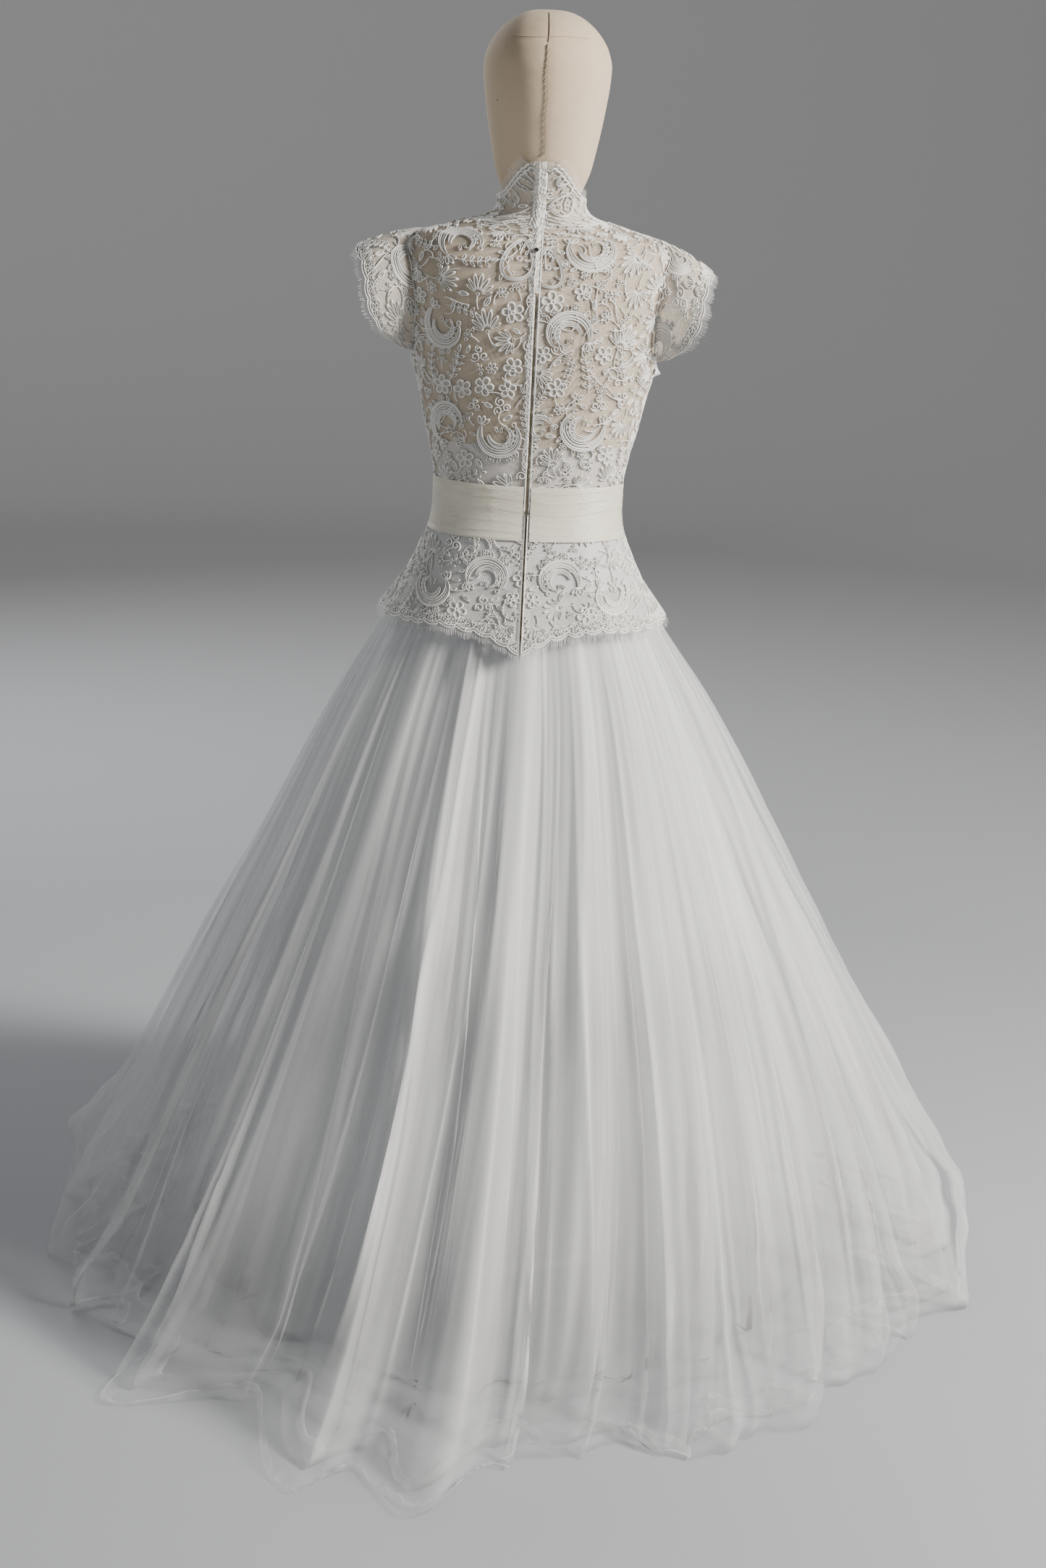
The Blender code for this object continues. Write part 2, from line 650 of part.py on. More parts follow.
def skirt_point(angle, z, out):
    """Point of the skirt's outer hull moved out level, in degrees from the centre back."""
    x, y = ring_point(angle, *[read(SKIRT_RINGS, z, column) for column in (1, 2, 3, 5)])
    turn = math.radians(angle)
    return Vector((x + out * math.sin(turn) + read(SKIRT_RINGS, z, 4), y - out * math.cos(turn), z))


def outer_tulle(rows_at, columns, tulle):
    """The outer layer, whose folds run out into uneven tongues on the floor."""
    count = len(OUTER_FOLDS)
    rows = []
    for z in rows_at:
        fall = 1.0 - z / SKIRT_TOP
        row = []
        for index, (hem_angle, crest, trough) in enumerate(OUTER_FOLDS):
            next_angle, next_crest, _ = OUTER_FOLDS[(index + 1) % count]
            next_angle += 360.0 if index == count - 1 else 0.0
            top_angle = OUTER_FOLDS[0][0] + 360.0 * index / count
            top_next = top_angle + 360.0 / count
            for step in range(columns):
                phase = step / columns
                wave = math.cos(2.0 * math.pi * phase)
                top = top_angle + (top_next - top_angle) * phase
                hem = hem_angle + (next_angle - hem_angle) * phase
                angle = top + (hem - top) * fall ** LEAN_POWER
                peak = crest if phase < 0.5 else next_crest
                reach = trough + (peak - trough) * (0.5 + 0.5 * wave)
                sway = reach - read(FOLD_DEPTH, 0.0) * wave
                out = read(FOLD_DEPTH, z) * wave + sway * fall ** HEM_POWER + puff(angle, z)
                if z > GATHER_FADE:
                    out += GATHER_DEPTH * math.cos(4.0 * math.pi * phase)
                row.append(skirt_point(angle, z, out - TULLE_THICK))
        rows.append(row)
    return sheet("tulle_outer", rows, TULLE_THICK, tulle, closed=True)


def inner_tulle(name, layer, rows_at, folds, columns, depth, turn, tulle):
    """A layer under the outer one, with its own even folds, depth being its share of theirs."""
    rows = []
    for z in rows_at:
        row = []
        for step in range(folds * columns):
            wave = math.cos(2.0 * math.pi * step / columns)
            uneven = 1.0 - UNEVEN_SHARE + UNEVEN_SHARE * math.sin(UNEVEN_PACE * step / columns + turn)
            angle = turn + 360.0 * step / (folds * columns)
            out = depth * uneven * wave * read(FOLD_DEPTH, z) - read(LAYER_DROP[layer], z)
            row.append(skirt_point(angle, z, out - TULLE_THICK))
        rows.append(row)
    return sheet(name, rows, TULLE_THICK, tulle, closed=True)


def main():
    clear_scene()
    bpy.context.scene.collection.children.link(bpy.data.collections.new(COLLECTION))
    steel = finish("white_painted_steel", (0.80, 0.79, 0.77), 0.45)
    canvas = finish("canvas", (0.60, 0.51, 0.40), 0.85)
    lace = finish("corded_lace", (0.86, 0.85, 0.80), 0.70)
    satin = finish("white_satin", (0.88, 0.90, 0.93), 0.30)
    organza = finish("champagne_organza", (0.80, 0.77, 0.62), 0.38)
    tape = finish("zip_tape", (0.84, 0.82, 0.74), 0.55)
    metal = finish("stud_metal", (0.30, 0.30, 0.30), 0.35, 1.0)
    tulle = finish("white_tulle", (0.86, 0.87, 0.87), 0.60)
    lining = finish("skirt_lining", (0.82, 0.83, 0.82), 0.55)

    make_stand(steel)
    make_form(canvas)
    make_satin(36, satin)
    bodice_back("bodice_back_left", -1, 9, lace)
    bodice_back("bodice_back_right", 1, 9, lace)
    bodice_front("bodice_front", 18, lace)
    make_collar(30, lace)
    for name, side in (("left", -1), ("right", 1)):
        make_sleeve(name, side, 20, lace)
        make_peplum(name, side, 28, lace)
    make_binding("left", -1, 0.001, satin)
    make_binding("right", 1, 0.007, satin)
    make_sash(36, organza)
    make_closure(tape, lace, metal)
    outer_tulle((0.0025, 0.09, 0.28, 0.52, 0.76, 0.905, SKIRT_TOP), 6, tulle)
    inner_tulle("tulle_middle", "middle", (0.004, 0.28, 0.52, 0.76, SKIRT_TOP), 11, 6, 0.50, 9.0, tulle)
    inner_tulle("tulle_inner", "inner", (0.006, 0.28, 0.76, SKIRT_TOP), 13, 4, 0.38, 3.0, tulle)
    inner_tulle("underskirt", "under", (0.009, 0.28, 0.76, SKIRT_TOP), 12, 4, 0.30, 15.0, lining)


main()
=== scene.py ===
"""Looks of a lace and tulle dress on a limbless canvas dress form.

Metres, +Z up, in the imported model's frame: the dress's back faces -Y and the wearer's left is
-X. Cloth is drawn flat, s across it and t up it, and laid on surfaces read from level rings.
Angles round the body are degrees from the centre back towards +X.
"""
import logging
import math
import random
from contextlib import contextmanager
from dataclasses import dataclass, field
from enum import Enum, IntEnum
from functools import lru_cache
from typing import Callable, Iterable, Iterator, Sequence

import bmesh
import bpy
import numpy as np
from mathutils import Matrix, Vector


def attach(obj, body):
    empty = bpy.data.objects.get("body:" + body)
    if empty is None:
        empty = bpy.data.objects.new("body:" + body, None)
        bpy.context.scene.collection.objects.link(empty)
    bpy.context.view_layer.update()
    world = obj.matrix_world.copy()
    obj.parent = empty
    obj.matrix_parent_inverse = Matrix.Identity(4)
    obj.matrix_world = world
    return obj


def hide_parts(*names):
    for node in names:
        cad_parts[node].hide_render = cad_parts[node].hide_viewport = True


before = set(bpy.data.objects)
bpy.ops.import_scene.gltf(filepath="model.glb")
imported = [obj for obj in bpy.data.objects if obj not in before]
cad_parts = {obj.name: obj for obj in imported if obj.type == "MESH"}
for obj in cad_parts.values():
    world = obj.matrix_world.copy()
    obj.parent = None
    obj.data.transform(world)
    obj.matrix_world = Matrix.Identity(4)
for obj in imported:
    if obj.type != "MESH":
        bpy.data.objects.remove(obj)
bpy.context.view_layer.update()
LOG = logging.getLogger("dress")

Flat = tuple[float, float]
Table = Sequence[Sequence[float]]
Array = np.ndarray
Mesh, Material = bpy.types.Mesh, bpy.types.Material
Outline = Callable[[Array, Array], Array]

# Heights of the main seams and edges
WAIST_SEAM, NECK_SEAM, SKIRT_TOP = 1.0, 1.354, 0.955
SATIN_HEM, SATIN_FRONT, SATIN_TOP = 0.905, 0.948, 1.083
SASH_BOTTOM, SASH_TOP = 0.964, 1.034
PEPLUM_HEM, PEPLUM_END = 0.856, 104.0
ZIP_BOTTOM, FOLD_BOTTOM, ZIP_TOP = 0.845, 1.058, 1.272
PLACKET_BOTTOM, PLACKET_TOP = 1.2745, 1.3535
TORSO_BOTTOM, WHIPPING_TOP, HEAD_SEAM_TOP = 0.8, 1.573, 1.607

# Distances outwards from the dress's inmost surface
SATIN_OUT, NET_OUT, SASH_OUT = 0.0012, 0.0029, 0.0052
# Half the gap at the centre back, and the side seam's degrees from it
BACK_EDGE, SIDE_SEAM = 0.0024, 91.0
BODY_POWER, HEAD_POWER = 2.2, 2.05
TAU = 2.0 * np.pi

# Rings of the canvas torso: height, half width, back depth, front depth
TORSO_RINGS = (
    (0.8, 0.14, 0.104, 0.103), (0.84, 0.137, 0.101, 0.1), (0.88, 0.128, 0.093, 0.093),
    (0.92, 0.119, 0.085, 0.087), (0.955, 0.1148, 0.0808, 0.0848), (0.975, 0.115, 0.0812, 0.0856),
    (1.0, 0.116, 0.0822, 0.087), (1.03, 0.117, 0.0835, 0.09), (1.065, 0.1225, 0.087, 0.0965),
    (1.1, 0.1315, 0.093, 0.1055), (1.14, 0.14, 0.0985, 0.1155), (1.18, 0.1505, 0.1035, 0.1215),
    (1.22, 0.158, 0.107, 0.118), (1.26, 0.1645, 0.106, 0.105), (1.295, 0.169, 0.098, 0.09),
    (1.318, 0.1645, 0.085, 0.078), (1.334, 0.15, 0.0725, 0.068), (1.346, 0.112, 0.062, 0.061),
    (1.356, 0.08, 0.057, 0.0585), (1.364, 0.0595, 0.0515, 0.054), (1.376, 0.0505, 0.049, 0.0515),
    (1.392, 0.0485, 0.049, 0.0515),
)
# Rings of the egg-shaped head: height, half width, back depth, front depth
HEAD_RINGS = (
    (1.3923, 0.049, 0.0495, 0.052), (1.405, 0.0545, 0.056, 0.063), (1.42, 0.06, 0.063, 0.074),
    (1.44, 0.0645, 0.07, 0.083), (1.465, 0.0695, 0.078, 0.0895), (1.495, 0.0745, 0.087, 0.094),
    (1.525, 0.0785, 0.0925, 0.097), (1.545, 0.0796, 0.094, 0.097), (1.566, 0.0745, 0.089, 0.091),
    (1.584, 0.0635, 0.076, 0.078), (1.598, 0.049, 0.059, 0.06), (1.608, 0.031, 0.036, 0.037),
    (1.6118, 0.013, 0.015, 0.016), (1.612, 0.0, 0.0, 0.0),
)
# The dress's inmost surface below the waist seam
HIP_RINGS = (
    (0.8, 0.219, 0.179, 0.168), (0.82, 0.205, 0.165, 0.157), (0.85, 0.1845, 0.1445, 0.141),
    (0.881, 0.163, 0.125, 0.1245), (0.905, 0.1478, 0.1115, 0.1125), (0.957, 0.1258, 0.092, 0.096),
    (0.975, 0.1195, 0.0866, 0.0915), (1.0, 0.1168, 0.0832, 0.088),
)
# Inner face of the stand collar: height, half width, back depth, front depth
COLLAR_RINGS = (
    (1.3543, 0.0862, 0.0604, 0.0612), (1.36, 0.069, 0.0575, 0.0595), (1.367, 0.059, 0.0545, 0.057),
    (1.379, 0.0535, 0.053, 0.0555), (1.4, 0.056, 0.0585, 0.062), (1.44, 0.0665, 0.0745, 0.084),
    (1.455, 0.0705, 0.0805, 0.092),
)
# Top edge of the collar: degrees from the centre back, height
COLLAR_TOP = ((0, 1.434), (15, 1.428), (29, 1.416), (45, 1.4), (60, 1.391), (90, 1.386), (180, 1.384))
# Back of the armhole: height, degrees from the centre back
ARMHOLE = ((1.18, 91.0), (1.19, 79.0), (1.22, 69.0), (1.26, 63.5), (1.295, 65.0), (1.318, 78.0),
           (1.334, 90.0))
# Free edge of the cap sleeve's back, one row for each armhole row above the underarm: x, y, z
CAP = ((0.164, -0.034, 1.194), (0.196, -0.066, 1.219), (0.2165, -0.074, 1.254),
       (0.2217, -0.061, 1.284), (0.225, -0.036, 1.303), (0.227, 0.0, 1.314))
# Peplum hem: degrees from the centre back, height
PEPLUM_EDGE = ((0, 0.829), (4, 0.836), (9, 0.846), (16, 0.853), (30, PEPLUM_HEM), (104, PEPLUM_HEM))
# Outer face of the skirt before folds: height, half width, back depth, front depth, shift in x, power
SKIRT_RINGS = (
    (0.0, 0.6, 0.65, 0.585, 0.012, 2.0), (0.09, 0.558, 0.598, 0.535, 0.02, 2.0),
    (0.28, 0.466, 0.475, 0.425, 0.018, 2.0), (0.52, 0.347, 0.325, 0.3, 0.01, 2.05),
    (0.76, 0.229, 0.185, 0.177, 0.003, 2.15), (0.85, 0.1765, 0.135, 0.133, 0.0, BODY_POWER),
    (0.905, 0.144, 0.1075, 0.1085, 0.0, BODY_POWER), (0.955, 0.1234, 0.0894, 0.0938, 0.0, BODY_POWER),
)
FOLD_DEPTH = ((0.0, 0.026), (0.09, 0.025), (0.28, 0.02), (0.52, 0.013), (0.76, 0.006), (0.9, 0.0016),
              (0.955, 0.0005))
# Folds of the outer tulle at the floor: degrees, how far its crest and the trough after it reach
OUTER_FOLDS = (
    (-97, 0.015, -0.02), (-77, 0.008, -0.026), (-58, -0.003, -0.026), (-40, 0.105, -0.02),
    (-18, 0.15, 0.08), (-7, 0.175, 0.02), (8, 0.015, -0.01), (22, 0.045, 0.01),
    (36, 0.04, -0.02), (53, 0.002, -0.028), (74, 0.025, -0.028), (94, 0.022, -0.026),
    (115, 0.02, -0.026), (137, 0.018, -0.026), (160, 0.022, -0.026), (183, 0.018, -0.026),
    (205, 0.022, -0.026), (235, 0.018, -0.026),
)
# The tulle puffs out at the front hips: degrees, reach, half spread
FRONT_PUFFS = ((-140, 0.032, 34), (134, 0.016, 28))
PUFF_HEIGHTS = ((0.62, 0.0), (0.76, 0.5), (0.88, 1.0), (0.905, 1.0), (0.955, 0.0))


def read(table: Table, at: Array | float, column: int = 1) -> Array:
    """Reads a table's column at places in its first column, straight between its rows."""
    return np.interp(at, [row[0] for row in table], [row[column] for row in table])


def smooth(table: Table, at: Array | float, column: int = 1) -> Array:
    """Reads a table's column along a curve that never overshoots its rows.

    Args:
        table: Rows in rising order of their first column.
        at: Where to read it.
        column: The column read.

    Returns:
        The values.
    """
    x = np.array([row[0] for row in table], float)
    y = np.array([row[column] for row in table], float)
    slope = np.diff(y) / np.diff(x)
    same = slope[:-1] * slope[1:] > 0.0
    total = slope[:-1] + slope[1:]
    inner = np.where(same, 2.0 * slope[:-1] * slope[1:] / np.where(same, total, 1.0), 0.0)
    tangent = np.concatenate(([slope[0]], inner, [slope[-1]]))
    at = np.clip(np.asarray(at, float), x[0], x[-1])
    row = np.clip(np.searchsorted(x, at, side="right") - 1, 0, len(x) - 2)
    step = x[row + 1] - x[row]
    w = (at - x[row]) / step
    return ((1 + 2 * w) * (1 - w) ** 2 * y[row] + w * (1 - w) ** 2 * step * tangent[row]
            + w * w * (3 - 2 * w) * y[row + 1] + w * w * (w - 1) * step * tangent[row + 1])


def swing(angle: Array, centre: float) -> Array:
    """Degrees from a centre, from -180 to 180."""
    return (angle - centre + 180.0) % 360.0 - 180.0


def rows(*columns: Array) -> Array:
    """Rows made of some columns."""
    return np.stack(columns, axis=1)


def ease(x: Array) -> Array:
    """Smooth step from 0 to 1."""
    x = np.clip(x, 0.0, 1.0)
    return x * x * (3.0 - 2.0 * x)


def superellipse(angle: Array, width: Array, back: Array, front: Array,
                 power: Array | float) -> tuple[Array, Array]:
    """Points of rounded ellipses.

    Args:
        angle: Degrees from the centre back.
        width: Half widths.
        back: Depths behind the middle.
        front: Depths before the middle.
        power: 2 for an ellipse, more for a squarer section.

    Returns:
        The x and y of the points.
    """
    side, away = np.sin(np.radians(angle)), np.cos(np.radians(angle))
    depth = np.where(away >= 0.0, back, front)
    x = width * np.copysign(np.abs(side) ** (2.0 / power), side)
    return x, -depth * np.copysign(np.abs(away) ** (2.0 / power), away)


@dataclass(frozen=True)
class Hull:
    """A surface through level rings, with its own measure of length along it.

    Attributes:
        rings: Height, half width, back depth and front depth of each ring.
        power: Roundness of the sections.
        seat: Height where t is 0.
    """

    rings: Table
    power: float = BODY_POWER
    seat: float = WAIST_SEAM

    def at(self, angle: Array, z: Array) -> Array:
        """Points of the hull.

        Args:
            angle: Degrees from the centre back.
            z: Heights.

        Returns:
            An array of points.
        """
        sizes = [smooth(self.rings, z, column) for column in (1, 2, 3)]
        x, y = superellipse(angle, *sizes, self.power)
        return np.stack([x, y, np.broadcast_to(z, x.shape)], axis=-1)

    def point(self, angle: Array, z: Array, out: Array | float = 0.0) -> Array:
        """Points moved out from the hull.

        Args:
            angle: Degrees from the centre back.
            z: Heights.
            out: Distances outwards.

        Returns:
            An array of points.
        """
        along = self.at(angle + 1.5, z) - self.at(angle - 1.5, z)
        up = self.at(angle, z + 0.006) - self.at(angle, z - 0.006)
        normal = np.cross(along, up)
        normal /= np.linalg.norm(normal, axis=-1, keepdims=True)
        return self.at(angle, z) + normal * np.asarray(out)[..., None]

    @lru_cache(maxsize=None)
    def _rise(self) -> tuple[Array, Array]:
        """Heights, and the length up the back at each."""
        z = np.linspace(self.rings[0][0], self.rings[-1][0], 500)
        path = self.at(np.full_like(z, 50.0), z)
        length = np.concatenate(([0.0], np.cumsum(np.linalg.norm(np.diff(path, axis=0), axis=1))))
        return z, length - np.interp(self.seat, z, length)

    def height(self, t: Array) -> Array:
        """Heights at lengths up the cloth from the seat."""
        z, length = self._rise()
        return np.interp(t, length, z)

    def rise(self, z: Array | float) -> Array:
        """Lengths up the cloth from the seat at heights."""
        return np.interp(z, *self._rise())

    @lru_cache(maxsize=None)
    def _girth(self) -> tuple[Array, Array, Array, Array]:
        """Angles with their share of half a ring's length, and heights with that length."""
        angle = np.linspace(0.0, 180.0, 181)
        levels = np.linspace(self.rings[0][0], self.rings[-1][0], 60)
        ring = self.at(angle[None, :], np.repeat(levels[:, None], len(angle), axis=1))
        length = np.cumsum(np.linalg.norm(np.diff(ring, axis=1), axis=2), axis=1)
        middle = length[len(levels) // 2]
        share = np.concatenate(([0.0], middle / middle[-1]))
        return angle, share, levels, length[:, -1]

    def across(self, angle: Array | float, z: Array | float) -> Array:
        """Lengths round a ring from the centre back at angles and heights."""
        angles, share, levels, half = self._girth()
        return np.sign(angle) * np.interp(np.abs(angle), angles, share) * np.interp(z, levels, half)

    def turn(self, s: Array, z: Array) -> Array:
        """Angles at lengths round a ring from the centre back."""
        angles, share, levels, half = self._girth()
        return np.sign(s) * np.interp(np.abs(s) / np.interp(z, levels, half), share, angles)


TORSO = Hull(TORSO_RINGS)
HEAD = Hull(HEAD_RINGS, HEAD_POWER, 1.3923)
DRESS = Hull(HIP_RINGS + tuple(ring for ring in TORSO_RINGS if ring[0] > WAIST_SEAM))
COLLAR = Hull(COLLAR_RINGS, BODY_POWER, 1.3543)


class Surface:
    """A curved surface that flat cloth is laid on, kept as a grid of points over s and t."""

    def __init__(self, s: Array, t: Array, points: Array) -> None:
        """Keeps the grid and works out its normals.

        Args:
            s: Even steps across the cloth.
            t: Even steps up the cloth.
            points: One point for each s and t.
        """
        self.s, self.t, self.points = s, t, points
        normals = np.cross(np.gradient(points, axis=0), np.gradient(points, axis=1))
        length = np.linalg.norm(normals, axis=-1, keepdims=True)
        self.normals = normals / np.maximum(length, 1e-12)

    def place(self, flat: Array) -> Array:
        """Lays flat points on the surface.

        Args:
            flat: Rows of s, t and distance outwards.

        Returns:
            Rows of x, y and z.
        """
        i = np.clip((flat[:, 0] - self.s[0]) / (self.s[1] - self.s[0]), 0.0, len(self.s) - 1.001)
        j = np.clip((flat[:, 1] - self.t[0]) / (self.t[1] - self.t[0]), 0.0, len(self.t) - 1.001)
        low_i, low_j = i.astype(int), j.astype(int)
        a, b = (i - low_i)[:, None], (j - low_j)[:, None]

        def blend(grid: Array) -> Array:
            """Mixes the four corners round each point."""
            return ((1 - a) * (1 - b) * grid[low_i, low_j] + a * (1 - b) * grid[low_i + 1, low_j]
                    + (1 - a) * b * grid[low_i, low_j + 1] + a * b * grid[low_i + 1, low_j + 1])

        return blend(self.points) + blend(self.normals) * flat[:, 2:3]


def flute(angle: Array, z: Array) -> Array:
    """Depth of the peplum's soft waves, which open towards its hem."""
    return 0.022 * np.maximum(0.0, 0.957 - z) * (1.0 + np.cos(np.radians(11.0 * angle)))


def body_surface(hull: Hull, out: float, low: float, high: float, front: bool = False) -> Surface:
    """Lays out a hull's surface about its centre back or front.

    Args:
        hull: The hull followed.
        out: Distance outwards from it.
        low: Lowest height.
        high: Greatest height.
        front: Whether s runs from the centre front.

    Returns:
        The surface.
    """
    s = np.linspace(-0.48, 0.48, 385)
    t = np.linspace(float(hull.rise(low)), float(hull.rise(high)), 260)
    z = np.repeat(hull.height(t)[None, :], len(s), axis=0)
    angle = hull.turn(np.repeat(s[:, None], len(t), axis=1), z)
    away = angle + 180.0 if front else angle
    offset = out + (flute(angle, z) if hull is DRESS and not front else 0.0)
    return Surface(s, t, hull.point(away, z, offset))


def link(thing: bpy.types.Object) -> None:
    """Puts an object in the scene."""
    bpy.context.scene.collection.objects.link(thing)


def mesh_from(bm: bmesh.types.BMesh, name: str) -> Mesh:
    """Turns a bmesh into a smooth-shaded mesh and frees it."""
    mesh = bpy.data.meshes.new(name)
    bm.to_mesh(mesh)
    bm.free()
    mesh.shade_smooth()
    return mesh


@contextmanager
def edited(mesh: Mesh) -> Iterator[bmesh.types.BMesh]:
    """Opens a mesh as a bmesh, and puts it back smooth-shaded."""
    bm = bmesh.new()
    bm.from_mesh(mesh)
    yield bm
    bm.to_mesh(mesh)
    bm.free()
    mesh.shade_smooth()


def coordinates(mesh: Mesh) -> Array:
    """Rows of x, y and z of a mesh's vertices."""
    found = np.empty(len(mesh.vertices) * 3, np.float32)
    mesh.vertices.foreach_get("co", found)
    return found.reshape(-1, 3).astype(float)


def move_to(mesh: Mesh, points: Array) -> None:
    """Moves a mesh's vertices to the points."""
    mesh.vertices.foreach_set("co", points.astype(np.float32).ravel())
    mesh.update()


def unit_grid(columns: int, rows: int, name: str) -> Mesh:
    """A grid whose x and y run from 0 to 1."""
    bm = bmesh.new()
    bmesh.ops.create_grid(bm, x_segments=columns, y_segments=rows, size=0.5)
    bmesh.ops.translate(bm, verts=bm.verts, vec=(0.5, 0.5, 0.0))
    return mesh_from(bm, name)


def weld(mesh: Mesh, distance: float = 1e-5) -> None:
    """Merges doubled vertices, such as those along a seam, and drops faces with no area."""
    with edited(mesh) as bm:
        bmesh.ops.remove_doubles(bm, verts=bm.verts, dist=distance)
        bmesh.ops.dissolve_degenerate(bm, edges=bm.edges, dist=distance)


def add_attribute(mesh: Mesh, name: str, values: Array) -> None:
    """Gives each vertex a value that a material can read."""
    kept = mesh.attributes.new(name, "FLOAT", "POINT")
    kept.data.foreach_set("value", values.astype(np.float32))


def math_node(operation: str, swapped: bool = False) -> Callable[["Sock", "Sock | float"], "Sock"]:
    """Makes an operator that adds a Math node.

    Args:
        operation: The node's operation.
        swapped: Whether the value stands on the operator's right.

    Returns:
        The operator.
    """
    def act(self: "Sock", other: "Sock | float") -> "Sock":
        """Adds the node."""
        pair = (other, self) if swapped else (self, other)
        return self.nodes.add("ShaderNodeMath", {"operation": operation}, dict(enumerate(pair)))
    return act


class Sock:
    """A shader value that adds Math nodes when it meets an operator."""

    __add__ = __radd__ = math_node("ADD")
    __mul__ = __rmul__ = math_node("MULTIPLY")
    __sub__, __rsub__ = math_node("SUBTRACT"), math_node("SUBTRACT", swapped=True)

    def __init__(self, nodes: "Nodes", socket: bpy.types.NodeSocket) -> None:
        """Wraps an output socket."""
        self.nodes, self.socket = nodes, socket


class Nodes:
    """The node tree of one material, built round its Principled shader."""

    def __init__(self, name: str) -> None:
        """Starts a material of that name."""
        self.material = bpy.data.materials.new(name)
        self.material.use_nodes = True
        self.tree = self.material.node_tree
        self.shader = self.tree.nodes["Principled BSDF"]

    def _feed(self, target: bpy.types.NodeSocket, value: object) -> None:
        """Links a socket, or sets its value."""
        if isinstance(value, Sock):
            self.tree.links.new(value.socket, target)
        elif isinstance(value, tuple) and target.type == "RGBA":
            target.default_value = (*value, 1.0)
        else:
            target.default_value = value

    def add(self, kind: str, settings: dict, inputs: dict, output: int | str = 0) -> Sock:
        """Adds one node.

        Args:
            kind: The node's type.
            settings: Its settings, set first; "stops" fills a colour ramp.
            inputs: Values or links of its sockets, by name or number.
            output: The socket returned.

        Returns:
            That output.
        """
        node = self.tree.nodes.new(kind)
        for name, value in settings.items():
            if name == "stops":
                for stop, (place, level) in zip(node.color_ramp.elements, value):
                    stop.position, stop.color = place, (level, level, level, 1.0)
            else:
                setattr(node, name, value)
        for name, value in inputs.items():
            self._feed(node.inputs[name], value)
        return Sock(self, node.outputs[output])

    def noise(self, scale: float, detail: float = 3.0, stretch: tuple = (1.0, 1.0, 1.0)) -> Sock:
        """Soft noise on the object's own coordinates.

        Args:
            scale: Patches for each metre, roughly.
            detail: Finer layers.
            stretch: Scale along each axis.

        Returns:
            The noise, from 0 to 1.
        """
        place = self.add("ShaderNodeTexCoord", {}, {}, "Object")
        place = self.add("ShaderNodeMapping", {}, {"Vector": place, "Scale": stretch})
        return self.add("ShaderNodeTexNoise", {}, {"Vector": place, "Scale": scale, "Detail": detail})

    def ribs(self, direction: str, pitch: float, wobble: float = 0.0) -> Sock:
        """Ribs along X, Y, Z or DIAGONAL, such as threads, pitch metres from one to the next."""
        place = self.add("ShaderNodeTexCoord", {}, {}, "Object")
        return self.add("ShaderNodeTexWave", {"bands_direction": direction},
                        {"Vector": place, "Scale": 0.314 / pitch, "Distortion": wobble, "Detail": 1.0}, 1)

    def ramp(self, value: Sock, low: float, high: float) -> Sock:
        """Stretches the part of a value between two levels to 0 and 1."""
        return self.add("ShaderNodeMapRange", {}, {"Value": value, "From Min": low, "From Max": high})

    def mix(self, factor: Sock | float, first: object, second: object) -> Sock:
        """Mixes two colours."""
        return self.add("ShaderNodeMix", {"data_type": "RGBA"}, {0: factor, 6: first, 7: second}, 2)

    def bump(self, height: Sock, depth: float, strength: float = 1.0) -> Sock:
        """A normal bent by a height."""
        return self.add("ShaderNodeBump", {}, {"Height": height, "Distance": depth, "Strength": strength})

    def dress(self, **inputs: object) -> Material:
        """Feeds the Principled shader.

        Args:
            **inputs: Its sockets, with _ for a space.

        Returns:
            The material.
        """
        for name, value in inputs.items():
            self._feed(self.shader.inputs[name.replace("_", " ")], value)
        return self.material


@dataclass(frozen=True)
class Canvas:
    """Beige plain-weave canvas, with faint stains and specks.

    Attributes:
        light: Colour of the clean cloth.
        dark: Colour of its stains.
        fleck: Colour of its specks.
        pitch: Metres between threads.
    """

    light: tuple = (0.67, 0.53, 0.37)
    dark: tuple = (0.51, 0.38, 0.25)
    fleck: tuple = (0.16, 0.11, 0.08)
    pitch: float = 0.0009

    def make(self) -> Material:
        """Builds the material."""
        nodes = Nodes("canvas")
        weave = nodes.ribs("X", self.pitch, 0.6) + nodes.ribs("Z", self.pitch, 0.6)
        stain = nodes.ramp(nodes.noise(9.0, 5.0), 0.42, 0.75)
        speck = nodes.ramp(nodes.noise(160.0, 1.0), 0.74, 0.80)
        colour = nodes.mix(stain * 0.55, self.light, self.dark)
        colour = nodes.mix(nodes.noise(700.0, 1.0) * 0.25, colour, self.dark)
        colour = nodes.mix(speck * 0.6, colour, self.fleck)
        return nodes.dress(Base_Color=colour, Roughness=0.88, Sheen_Weight=0.15,
                           Normal=nodes.bump(weave, 0.00025, 0.6))


